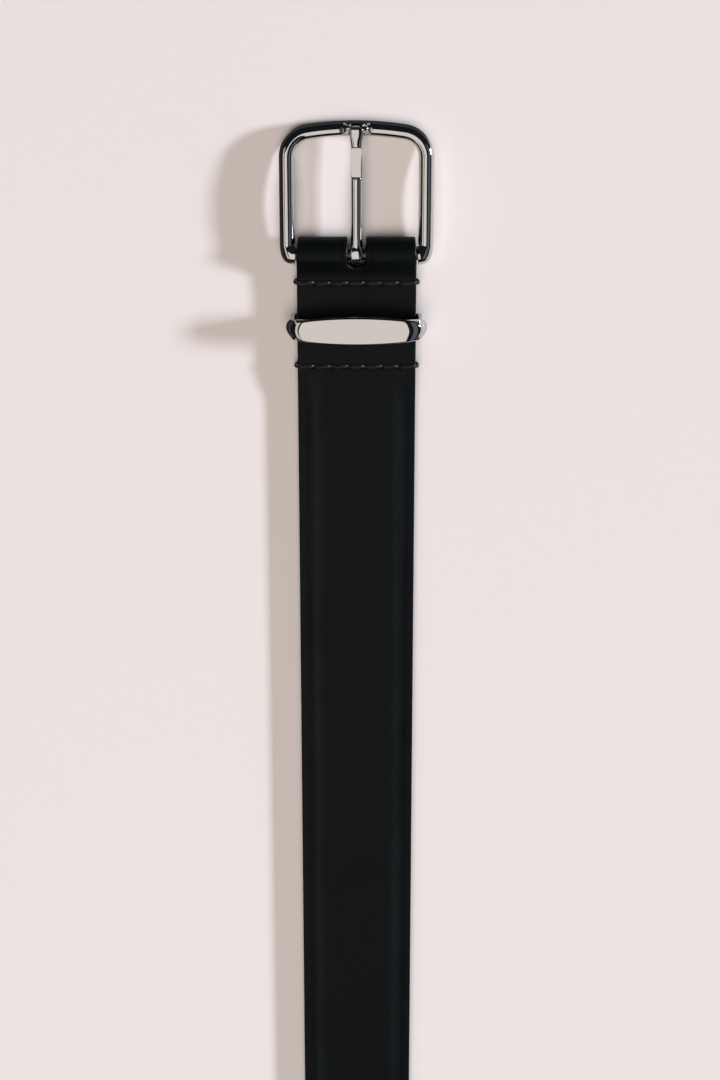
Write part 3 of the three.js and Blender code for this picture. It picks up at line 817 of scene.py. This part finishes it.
class BELT_OT_prong(bpy.types.Operator):
    """Makes the prong: an eye on the heel bar, a round body with a flat recess, and a tip in the saddle"""

    bl_idname = "belt.prong"
    bl_label = "Prong"

    def execute(self, context):
        settings = context.scene.belt.metal
        mesh = united(self.body(settings), self.eye_ring(settings))
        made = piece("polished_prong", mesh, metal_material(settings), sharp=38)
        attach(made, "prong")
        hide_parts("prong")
        return {"FINISHED"}

    def eye_ring(self, settings):
        """The ring round the heel bar."""
        bore = BAR_RADIUS + 0.1 * MM
        wall = (PRONG_EYE - bore) / 2
        half = settings.prong_body / 2

        def place(around, turn):
            x = half * power(math.cos(around), EYE_SQUARE)
            radius = bore + wall + wall * power(math.sin(around), EYE_SQUARE)
            return on_bar(x, radius * math.cos(turn), BAR_Z + radius * math.sin(turn))

        return tube(steps(0, 2 * math.pi, math.pi / 14), steps(0, 2 * math.pi, math.pi / 28), place)

    def body(self, settings):
        """The body and tip, flat where the recess is."""
        top_high = BAR_Z + PRONG_EYE
        low = top_high - settings.prong_body
        tip_low = settings.rod - settings.seat_depth + 0.1 * MM
        tip_top = tip_low + settings.prong_tip
        start = settings.recess_start
        end = start + settings.recess_length
        wall = PRONG_EYE - EYE_WALL
        body_half = settings.prong_body / 2
        neck_y, neck_length, neck_depth = NECK

        def top_at(y):
            neck = neck_depth * math.exp(-(((y - neck_y) / neck_length) ** 2))
            return top_high + (tip_top - top_high) * (y / PRONG_END) ** 2 - neck

        def low_at(y):
            if y < wall:
                return max(low, BAR_Z + math.sqrt(wall * wall - y * y))
            return low + (tip_low - low) * smooth(y, start, PRONG_END - 5 * MM)

        def place(angle, y):
            closing = max(y - (PRONG_END - DOME), 0) / DOME
            round_off = math.sqrt(max(1 - closing * closing, 0))
            high = top_at(y)
            deep = low_at(y)
            square = BODY_SQUARE + (HEAD_SQUARE - BODY_SQUARE) * smooth(y, end + HEAD / 2, end + HEAD)
            half = body_half + (PRONG_HALF - body_half) * smooth(y, end, end + HEAD)
            narrow = 0.25 + 0.75 * round_off if closing < 1 else 0
            x = half * power(math.cos(angle), square) * narrow
            z = (high + deep) / 2 + (high - deep) / 2 * power(math.sin(angle), square) * round_off
            inside = smooth(y, start - RECESS_SLOPE, start) * (1 - smooth(y, end, end + RECESS_SLOPE))
            if inside > 0:
                z = min(z, high - (settings.recess_depth + RECESS_HOLLOW * (x / half) ** 4) * inside)
            return on_bar(x, y, z)

        before, after = start - 1 * MM, end + 1 * MM
        level = (start + 0.4 * MM, end - 0.4 * MM)
        along = joined(
            steps(0, 6 * MM, 0.5 * MM),
            steps(6 * MM, before, 1.2 * MM),
            steps(before, level[0], 0.1 * MM),
            steps(*level, 1 * MM),
            steps(level[1], after, 0.1 * MM),
            steps(after, PRONG_END - DOME, 0.6 * MM),
            [PRONG_END - DOME * (1 - math.sin(a)) for a in steps(0, QUARTER, 0.2)],
        )
        return tube(steps(0, 2 * math.pi, math.pi / 24), along, place)


PLATE_RIM = 0.7 * MM  # radius of the rounding at the plate's top
PLATE_FLAT = 15.4 * MM  # half the length of the plate's level part
PLATE_ROLL = 5.6 * MM  # radius on which its ends turn down
PLATE_CURVE = 130.0  # how much sooner they do so away from the middle, per metre
PLATE_UNDER = 0.4  # width of its chamfer below, as a share of the rim
PLATE_TURNS = (*range(11), 12.5, 15, 17.5, 20, 30, 35, 40, 50, 52.5, 55, 57.5, 60 - 1e-9)
LOOP_PLAY = 0.6 * MM  # loop to strap, at each side
LOOP_TOP = 0.8 * MM  # how deep the loop starts inside the plate
LOOP_BEVEL = 0.3 * MM
LOOP_CORNERS = (2 * MM, 0.9 * MM)  # outer radii, above and below
LOOP_CORNERS_INSIDE = (1.2 * MM, 0.45 * MM)


class BELT_OT_keeper(bpy.types.Operator):
    """Makes the keeper: a loop round the face leather, with an oval plate that rolls down at its ends"""

    bl_idname = "belt.keeper"
    bl_label = "Keeper"

    def execute(self, context):
        settings = context.scene.belt.metal
        mesh = united(self.plate(settings), self.loop(settings))
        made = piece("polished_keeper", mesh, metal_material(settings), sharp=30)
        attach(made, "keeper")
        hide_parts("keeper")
        return {"FINISHED"}

    def plate(self, settings):
        """The oval plate, flat on top with a rounded rim and a chamfer below."""
        end = settings.keeper_end / 2
        side = KEEPER_HIGH.x - end
        crown_half = (KEEPER_HIGH.y - KEEPER_LOW.y) / 2
        thick = settings.keeper_plate

        def half_width(x):
            past = abs(x) - side
            if past > 0:
                return math.sqrt(max(end * end - past * past, 0))
            return end + (crown_half - end) * (1 - (x / side) ** 2)

        def dropped(x, y):
            past = min(max(abs(x) + PLATE_CURVE * y * y - PLATE_FLAT, 0), PLATE_ROLL)
            return PLATE_ROLL - math.sqrt(PLATE_ROLL * PLATE_ROLL - past * past)

        def outline_point(share, x):
            """A point of the section. The tens of its share are its side, and the rest how far along."""
            half = half_width(x)
            edge = min(PLATE_RIM, half)
            inner = half - edge
            run, step = int(share // 10), share % 10 / 10
            turn = step * QUARTER
            under = edge * PLATE_UNDER
            low = -thick + edge * 0.6
            if run == 0:
                return inner - 2 * inner * step, 0
            if run == 1:
                return -inner - edge * math.sin(turn), -edge * (1 - math.cos(turn))
            if run == 2:
                return -half + under * step, -edge + (low + edge) * step
            if run == 3:
                return -inner + 2 * inner * step, -thick
            if run == 4:
                return half - under * (1 - step), low - (low + edge) * step
            return inner + edge * math.cos(turn), -edge + edge * math.sin(turn)

        def place(share, x):
            y, depth = outline_point(share, x)
            return Vector((x, KEEPER_Y + y, KEEPER_HIGH.z + depth - dropped(x, y)))

        ends = [KEEPER_HIGH.x - end * (1 - math.sin(a)) for a in steps(0, QUARTER, 0.13)]
        along = joined([-x for x in ends], steps(-side, side, 1 * MM), ends)
        return tube(list(PLATE_TURNS), along, place)

    def loop(self, settings):
        """The legs and the bar behind the face leather, closed inside the plate."""
        leg = settings.keeper_leg
        back = settings.keeper_back
        half = settings.keeper_width / 2
        reach = HALF + LOOP_PLAY + leg
        low = LINING_TOP + (PLY_RISE - back) / 2
        top = KEEPER_HIGH.z - LOOP_TOP

        def side_of(x, high, deep, corners):
            points = []
            above, below = corners
            for radius, z, first in ((above, high - above, QUARTER), (below, deep + below, 0)):
                for angle in steps(first, first - QUARTER, 0.32):
                    arc = Vector((math.cos(angle), math.sin(angle))) * radius
                    points.append(Vector((x - radius, z)) + arc)
            return points

        outer = side_of(reach, top, low, LOOP_CORNERS)
        inner = side_of(reach - leg, top - settings.keeper_plate / 2, low + back, LOOP_CORNERS_INSIDE)
        pairs = list(zip(outer, inner))
        pairs += [(Vector((-o.x, o.y)), Vector((-i.x, i.y))) for o, i in reversed(pairs)]
        pairs.append(pairs[0])

        def place(share, index):
            out, inside = pairs[index]
            thickness = (out - inside).length
            cut = min(LOOP_BEVEL, thickness * 0.4)
            quarter = [(half - cut, 0), (half - cut * 0.3, cut * 0.3), (half, cut)]
            near = quarter[::-1] + [(-y, deep) for y, deep in quarter]
            far = [(y, thickness - deep) for y, deep in reversed(near)]
            corners = near[2:] + far + near[:3]
            y, deep = corners[share]
            spot = out + (inside - out) * (deep / thickness)
            return Vector((spot.x, KEEPER_Y + y, spot.y))

        return tube(list(range(13)), list(range(len(pairs))), place)


# ---- Materials
def shader(name):
    """A new material's node tree and its Principled BSDF."""
    material = bpy.data.materials.new(name)
    material.use_nodes = True
    return material, material.node_tree, material.node_tree.nodes["Principled BSDF"]


def node(tree, kind, links=(), **values):
    """A shader node with its values set: an input by its name, or one of its own properties."""
    made = tree.nodes.new(f"ShaderNode{kind}")
    for key, value in values.items():
        label = key.replace("_", " ").title()
        if hasattr(made, key):
            setattr(made, key, value)
        else:
            made.inputs[label].default_value = value
    for label, source in dict(links).items():
        tree.links.new(source, made.inputs[label])
    return made


def group_of(name, inputs, outputs):
    """A new shader node group, with a vector input and named float inputs and outputs."""
    tree = bpy.data.node_groups.new(name, "ShaderNodeTree")
    add_socket = tree.interface.new_socket
    add_socket("Vector", in_out="INPUT", socket_type="NodeSocketVector")
    for label, default in inputs.items():
        add_socket(label, in_out="INPUT", socket_type="NodeSocketFloat").default_value = default
    for label in outputs:
        add_socket(label, in_out="OUTPUT", socket_type="NodeSocketFloat")
    return tree, tree.nodes.new("NodeGroupInput").outputs, tree.nodes.new("NodeGroupOutput").inputs


def grain_group():
    """Leather grain: fine creased cells with pores between them, and slow patches of wear."""
    if "Leather grain" in bpy.data.node_groups:
        return bpy.data.node_groups["Leather grain"]
    sizes = {"Scale": 1500, "Patch Scale": 60}
    tree, given, out = group_of("Leather grain", sizes, ("Height", "Pores", "Patches"))
    close = {"Vector": given["Vector"], "Scale": given["Scale"]}
    wide = {"Vector": given["Vector"], "Scale": given["Patch Scale"]}
    cells = node(tree, "TexVoronoi", close, feature="DISTANCE_TO_EDGE")
    fine = node(tree, "TexNoise", close, detail=3, roughness=0.6)
    slow = node(tree, "TexNoise", wide, detail=4, roughness=0.6)
    flat = node(tree, "MapRange", {"Value": cells.outputs["Distance"]}, from_max=0.16)
    height = node(tree, "Math", {0: flat.outputs[0], 1: fine.outputs["Fac"]}, operation="MULTIPLY")
    pores = node(tree, "MapRange", {"Value": fine.outputs["Fac"]}, from_min=0.62, from_max=0.72)
    patches = node(tree, "MapRange", {"Value": slow.outputs["Fac"]}, from_min=0.35, from_max=0.68)
    tree.links.new(height.outputs[0], out["Height"])
    tree.links.new(pores.outputs[0], out["Pores"])
    tree.links.new(patches.outputs[0], out["Patches"])
    return tree


def painted_sheen_group():
    """Masks for painted highlights along the strap: 1 at its two sides, fading inwards, and 1 along the
    shoulders of its crown.
    """
    if "Rubbed edge" in bpy.data.node_groups:
        return bpy.data.node_groups["Rubbed edge"]
    given_names = {"Width": 1.2 * MM, "Shoulder": 5 * MM, "Shoulder Width": 2.4 * MM}
    tree, given, out = group_of("Rubbed edge", given_names, ("Edge", "Shoulder"))
    split = node(tree, "SeparateXYZ", {"Vector": given["Vector"]})
    aside = node(tree, "Math", {0: split.outputs["X"]}, operation="ABSOLUTE")
    inward = node(tree, "Math", {1: aside.outputs[0]}, operation="SUBTRACT")
    inward.inputs[0].default_value = HALF
    share = node(tree, "Math", {0: inward.outputs[0], 1: given["Width"]}, operation="DIVIDE")
    noise = node(tree, "TexNoise", {"Vector": given["Vector"]}, scale=900, detail=3)
    uneven = node(tree, "Math", {0: share.outputs[0], 1: noise.outputs["Fac"]}, operation="ADD")
    fading = {"to_min": 1, "to_max": 0}
    mask = node(tree, "MapRange", {"Value": uneven.outputs[0]}, from_min=0.35, from_max=1.3, **fading)
    tree.links.new(mask.outputs[0], out["Edge"])
    past = node(tree, "Math", {0: inward.outputs[0], 1: given["Shoulder"]}, operation="SUBTRACT")
    apart = node(tree, "Math", {0: past.outputs[0]}, operation="ABSOLUTE")
    ratio = node(tree, "Math", {0: apart.outputs[0], 1: given["Shoulder Width"]}, operation="DIVIDE")
    patch = node(tree, "TexNoise", {"Vector": given["Vector"]}, scale=45, detail=3)
    fade = node(tree, "Math", {0: ratio.outputs[0], 1: patch.outputs["Fac"]}, operation="ADD")
    band = node(tree, "MapRange", {"Value": fade.outputs[0]}, from_min=0.4, from_max=1.5, **fading)
    behind = node(tree, "MapRange", {"Value": split.outputs["Y"]}, **fading)
    behind.inputs["From Min"].default_value = BAR_Y - CROWN_FADE[1]
    behind.inputs["From Max"].default_value = BAR_Y - CROWN_FADE[0]
    held = node(tree, "Math", {0: band.outputs[0], 1: behind.outputs[0]}, operation="MULTIPLY")
    tree.links.new(held.outputs[0], out["Shoulder"])
    return tree


def place_group(tree, group, coordinates, **values):
    """Puts a node group in a material."""
    made = tree.nodes.new("ShaderNodeGroup")
    made.node_tree = group
    tree.links.new(coordinates, made.inputs["Vector"])
    for key, value in values.items():
        made.inputs[key.replace("_", " ").title()].default_value = value
    return made.outputs


def mixed(tree, share, first, second):
    """A colour between two, by a mask."""
    made = node(tree, "Mix", data_type="RGBA")
    tree.links.new(share, made.inputs["Factor"])
    for socket, value in ((made.inputs[6], first), (made.inputs[7], second)):
        if isinstance(value, bpy.types.NodeSocket):
            tree.links.new(value, socket)
        else:
            socket.default_value = (*value, 1)
    return made.outputs[2]


def toned(shade, factor):
    """A colour, lighter or darker."""
    return [min(channel * factor, 1) for channel in shade]


def bumped(tree, height, strength, distance, normal=None):
    """A Bump node's normal."""
    made = node(tree, "Bump", {"Height": height}, strength=strength, distance=distance)
    if normal:
        tree.links.new(normal, made.inputs["Normal"])
    return made.outputs["Normal"]


def face_material(settings):
    """Smooth black calf: fine grain, slow patches in its gloss, painted highlights at its edges and a
    painted sheen with glinting specks on its shoulders.
    """
    material, tree, surface = shader("Black calf")
    at = node(tree, "TexCoord").outputs["Object"]
    grain = place_group(tree, grain_group(), at, scale=1700, patch_scale=55)
    # edge holds the masks of the painted highlights at the sides and shoulders
    edge = place_group(tree, painted_sheen_group(), at, width=0.9 * MM)
    shade = mixed(tree, grain["Patches"], toned(settings.face, 0.82), toned(settings.face, 1.15))
    shade = mixed(tree, grain["Pores"], shade, toned(settings.face, 0.5))
    # Specks of painted glint, only inside the painted shoulder sheen
    specks = node(tree, "TexNoise", {"Vector": at}, scale=2300, detail=2)
    speck = {"Value": specks.outputs["Fac"]}
    painted_glint_specks = node(tree, "MapRange", speck, from_min=0.4, from_max=0.75, to_min=0.35)
    painted_shoulder_sheen = node(tree, "Math", {0: edge["Shoulder"], 1: painted_glint_specks.outputs[0]}, operation="MULTIPLY")
    # Painted sheen: the crown's shoulders lightened where they catch the light
    shade = mixed(tree, painted_shoulder_sheen.outputs[0], shade, toned(settings.face, 3.4))
    # Painted highlight: the strap's sides lightened where the rounded edge catches the light
    shade = mixed(tree, edge["Edge"], shade, toned(settings.face, 1.9))
    tree.links.new(shade, surface.inputs["Base Color"])
    gloss = node(tree, "MapRange", {"Value": grain["Patches"]}, to_min=0.31, to_max=0.38)
    tree.links.new(gloss.outputs[0], surface.inputs["Roughness"])
    surface.inputs["Specular IOR Level"].default_value = 0.14
    tree.links.new(bumped(tree, grain["Height"], 0.32, 0.12 * MM), surface.inputs["Normal"])
    return material


def lining_material(settings):
    """Matt lining leather with a coarser grain."""
    material, tree, surface = shader("Lining leather")
    at = node(tree, "TexCoord").outputs["Object"]
    grain = place_group(tree, grain_group(), at, scale=1000, patch_scale=38)
    shade = mixed(tree, grain["Patches"], toned(settings.lining, 0.75), toned(settings.lining, 1.3))
    shade = mixed(tree, grain["Pores"], shade, toned(settings.lining, 0.5))
    tree.links.new(shade, surface.inputs["Base Color"])
    gloss = node(tree, "MapRange", {"Value": grain["Patches"]}, to_min=0.52, to_max=0.66)
    tree.links.new(gloss.outputs[0], surface.inputs["Roughness"])
    surface.inputs["Specular IOR Level"].default_value = 0.35
    tree.links.new(bumped(tree, grain["Height"], 0.5, 0.2 * MM), surface.inputs["Normal"])
    return material


def filler_material(settings):
    """Matted felt."""
    material, tree, surface = shader("Felt filler")
    at = node(tree, "TexCoord").outputs["Object"]
    fibres = node(tree, "TexNoise", {"Vector": at}, scale=2600, detail=6, roughness=0.8, distortion=1.2)
    shade = mixed(tree, fibres.outputs["Fac"], toned(settings.filler, 0.5), toned(settings.filler, 1.6))
    tree.links.new(shade, surface.inputs["Base Color"])
    surface.inputs["Roughness"].default_value = 0.95
    surface.inputs["Specular IOR Level"].default_value = 0.1
    tree.links.new(bumped(tree, fibres.outputs["Fac"], 0.8, 0.2 * MM), surface.inputs["Normal"])
    return material


def thread_material(settings):
    """Waxed thread: the twist of its strands shows as slanting ridges, with painted shade between the
    strands and painted highlight on their ridges.
    """
    material, tree, surface = shader("Waxed thread")
    at = node(tree, "TexCoord").outputs["Object"]
    turned = node(tree, "Mapping", {"Vector": at}, rotation=(0.5, 0, 0.85))
    strands = node(tree, "TexWave", {"Vector": turned.outputs[0]}, scale=520, distortion=1.4, detail=2)
    fuzz = node(tree, "TexNoise", {"Vector": at}, scale=5200, detail=3)
    # Painted shade and highlight: darker between the strands, lighter on their ridges
    shade = mixed(tree, strands.outputs["Fac"], toned(settings.dye, 0.5), toned(settings.dye, 1.7))
    tree.links.new(shade, surface.inputs["Base Color"])
    gloss = node(tree, "MapRange", {"Value": fuzz.outputs["Fac"]}, to_min=0.3, to_max=0.6)
    tree.links.new(gloss.outputs[0], surface.inputs["Roughness"])
    surface.inputs["Sheen Weight"].default_value = 0.08
    ridges = bumped(tree, strands.outputs["Fac"], 0.9, 0.16 * MM)
    tree.links.new(bumped(tree, fuzz.outputs["Fac"], 0.25, 0.05 * MM, ridges), surface.inputs["Normal"])
    return material


def metal_material(settings):
    """Polished plating, with hairline scratches and faint smears from handling."""
    name = "Polished nickel"
    if name in bpy.data.materials:
        return bpy.data.materials[name]
    material, tree, surface = shader(name)
    at = node(tree, "TexCoord").outputs["Object"]
    smears = node(tree, "TexNoise", {"Vector": at}, scale=110, detail=5, roughness=0.7)
    stretched = node(tree, "Mapping", {"Vector": at}, rotation=(0.3, 0.2, 0.6), scale=(900, 14000, 9000))
    hairs = node(tree, "TexNoise", {"Vector": stretched.outputs[0]}, scale=1, detail=2)
    scratch = node(tree, "MapRange", {"Value": hairs.outputs["Fac"]}, from_min=0.66, from_max=0.76)
    shade = mixed(tree, smears.outputs["Fac"], toned(settings.plating, 0.97), settings.plating)
    tree.links.new(shade, surface.inputs["Base Color"])
    surface.inputs["Metallic"].default_value = 1
    gloss = node(tree, "MapRange", {"Value": smears.outputs["Fac"]}, to_min=0.02, to_max=0.075)
    tree.links.new(gloss.outputs[0], surface.inputs["Roughness"])
    tree.links.new(bumped(tree, scratch.outputs[0], 0.025, 0.01 * MM), surface.inputs["Normal"])
    return material


def bar_material(settings):
    """Drawn steel, duller than the plating, with fine lines round it; its colour is darkened to near black
    as painted shade for where the bar shows in the slot.
    """
    material, tree, surface = shader("Drawn steel")
    at = node(tree, "TexCoord").outputs["Object"]
    drawn = node(tree, "Mapping", {"Vector": at}, scale=(9000, 200, 200))
    lines = node(tree, "TexNoise", {"Vector": drawn.outputs[0]}, scale=1, detail=3)
    # Painted shade: the bar's colour kept near black so that the slot looks shaded
    shade = mixed(tree, lines.outputs["Fac"], toned(settings.plating, 0.1), toned(settings.plating, 0.26))
    tree.links.new(shade, surface.inputs["Base Color"])
    surface.inputs["Metallic"].default_value = 1
    gloss = node(tree, "MapRange", {"Value": lines.outputs["Fac"]}, to_min=0.28, to_max=0.45)
    tree.links.new(gloss.outputs[0], surface.inputs["Roughness"])
    return material


FLOOR_IN_MIRRORS = 0.7  # how pale the floor is in the metal, beside what the camera sees of it
DARK_IN_MIRRORS = 0.04  # the same, left of the buckle and in front of it


def floor_material(shade):
    """Plain matt paper, darker in mirrors, and darkest there left of the buckle and in front of it."""
    material, tree, surface = shader("Studio paper")
    at = node(tree, "TexCoord").outputs["Object"]
    tooth = node(tree, "TexNoise", {"Vector": at}, scale=900, detail=4)
    tone = mixed(tree, tooth.outputs["Fac"], toned(shade, 0.985), shade)
    split = node(tree, "SeparateXYZ", {"Vector": at})
    right = node(tree, "MapRange", {"Value": split.outputs["X"]})
    right.inputs["From Min"].default_value = -FRAME_OUT - 1 * MM
    right.inputs["From Max"].default_value = -FRAME_OUT + 3 * MM
    behind = node(tree, "MapRange", {"Value": split.outputs["Y"]}, to_min=1, to_max=0)
    behind.inputs["From Min"].default_value = BAR_Y + FRAME_FRONT - 5 * MM
    behind.inputs["From Max"].default_value = BAR_Y + FRAME_FRONT - 1 * MM
    lit = node(tree, "Math", {0: right.outputs[0], 1: behind.outputs[0]}, operation="MULTIPLY")
    in_mirrors = mixed(tree, lit.outputs[0], toned(shade, DARK_IN_MIRRORS), toned(shade, FLOOR_IN_MIRRORS))
    tone = mixed(tree, node(tree, "LightPath").outputs["Is Glossy Ray"], tone, in_mirrors)
    tree.links.new(tone, surface.inputs["Base Color"])
    surface.inputs["Roughness"].default_value = 0.9
    surface.inputs["Specular IOR Level"].default_value = 0.1
    return material


# ---- Studio
CAMERA_TILT = 23.2
CAMERA_FROM_BAR = Vector((0.0010, 0.2163, 0.7204))
CAMERA_LENS = 85.1
FLOOR_HALF = 12
WARM = (1, 0.91, 0.855)
COOL = (0.72, 0.86, 1)
BLUE_DARK = (0.0072, 0.0096, 0.012)
PALE = (0.8, 0.74, 0.71)
# Name, size, radiance, tint, direction from the buckle (across, along, up), distance, seen in the metal
LIGHTS = (
    ("fill", (8, 8), 1.98, (1, 0.935, 0.88), (-0.1, -0.1, 1), 7.5, False),
    ("key", (0.48, 1.2), 385, (0.8, 0.87, 1), (1, 0.1, 0.29), 6.6, True),
    ("overhead_card", (0.76, 1.14), 0.72, WARM, (-0.22, -0.42, 1), 1.1, True),
    ("left_card", (0.34, 1.4), 0.62, WARM, (-0.95, -0.36, 0.85), 1.2, True),
    ("right_card", (0.5, 1.4), 0.11, COOL, (1, -0.36, 1.1), 1.1, True),
    ("side_card", (0.16, 1.4), 0.75, WARM, (1, -0.3, 0.14), 1.2, True),
)


def soft_light(name, size, radiance, tint, direction, distance, mirrored):
    """A rectangular light that faces the buckle."""
    data = bpy.data.lights.new(name, "AREA")
    data.shape = "RECTANGLE"
    data.size, data.size_y = size
    data.energy = radiance * math.pi * size[0] * size[1]
    data.color = tint
    light = bpy.data.objects.new(name, data)
    bpy.context.collection.objects.link(light)
    aim = Vector(direction).normalized()
    light.location = Vector((0, BAR_Y, 0)) + aim * distance
    across = Vector((0, 1, 0)).cross(aim).normalized()
    light.rotation_euler = Matrix((across, aim.cross(across), aim)).transposed().to_euler()
    light.visible_glossy = mirrored


class BELT_OT_studio(bpy.types.Operator):
    """Makes the pale paper floor, the camera, the soft lights and the low key light"""

    bl_idname = "belt.studio"
    bl_label = "Studio"

    def execute(self, context):
        scene = context.scene
        mesh = bmesh.new()
        bmesh.ops.create_grid(mesh, x_segments=2, y_segments=2, size=FLOOR_HALF)
        data = bpy.data.meshes.new("studio_floor")
        mesh.to_mesh(data)
        mesh.free()
        data.materials.append(floor_material(scene.belt.floor))
        floor = bpy.data.objects.new("studio_floor", data)
        context.collection.objects.link(floor)

        camera_data = bpy.data.cameras.new("camera")
        camera_data.lens = CAMERA_LENS
        camera_data.clip_start = 0.01
        camera = bpy.data.objects.new("camera", camera_data)
        camera.location = Vector((0, BAR_Y, 0)) + CAMERA_FROM_BAR
        camera.rotation_euler = (-math.radians(CAMERA_TILT), 0, 0)
        context.collection.objects.link(camera)
        scene.camera = camera

        world = bpy.data.worlds.new("studio")
        world.use_nodes = True
        backdrop = world.node_tree.nodes["Background"].inputs
        seen = node(world.node_tree, "LightPath").outputs["Is Camera Ray"]
        shade = mixed(world.node_tree, seen, BLUE_DARK, PALE)
        world.node_tree.links.new(shade, backdrop["Color"])
        scene.world = world
        scene.view_settings.view_transform = "Standard"
        for light in LIGHTS:
            soft_light(*light)
        return {"FINISHED"}


# ---- Panel and registration
PIECES = (
    BELT_OT_face_leather,
    BELT_OT_filler,
    BELT_OT_lining,
    BELT_OT_stitching,
    BELT_OT_buckle_frame,
    BELT_OT_heel_bar,
    BELT_OT_prong,
    BELT_OT_keeper,
    BELT_OT_studio,
)


class BELT_PT_panel(bpy.types.Panel):
    """Lists the belt's operators and its settings"""

    bl_idname = "BELT_PT_panel"
    bl_label = "Leather Belt"
    bl_space_type = "VIEW_3D"
    bl_region_type = "UI"
    bl_category = "Belt"

    def draw(self, context):
        for operator in PIECES:
            self.layout.operator(operator.bl_idname)
        belt = context.scene.belt
        self.layout.prop(belt, "floor")
        for title, settings in (("Leather", belt.leather), ("Thread", belt.thread), ("Metal", belt.metal)):
            box = self.layout.box()
            box.label(text=title)
            for name in settings.__annotations__:
                box.prop(settings, name)


CLASSES = (LeatherSettings, ThreadSettings, MetalSettings, BeltSettings, *PIECES, BELT_PT_panel)


def register():
    for cls in CLASSES:
        bpy.utils.register_class(cls)
    bpy.types.Scene.belt = PointerProperty(type=BeltSettings)


def unregister():
    del bpy.types.Scene.belt
    for cls in reversed(CLASSES):
        bpy.utils.unregister_class(cls)


def main():
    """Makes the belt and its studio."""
    register()
    bpy.ops.belt.face_leather()
    bpy.ops.belt.filler()
    bpy.ops.belt.lining()
    bpy.ops.belt.stitching()
    bpy.ops.belt.buckle_frame()
    bpy.ops.belt.heel_bar()
    bpy.ops.belt.prong()
    bpy.ops.belt.keeper()
    bpy.ops.belt.studio()


if __name__ == "__main__":
    main()
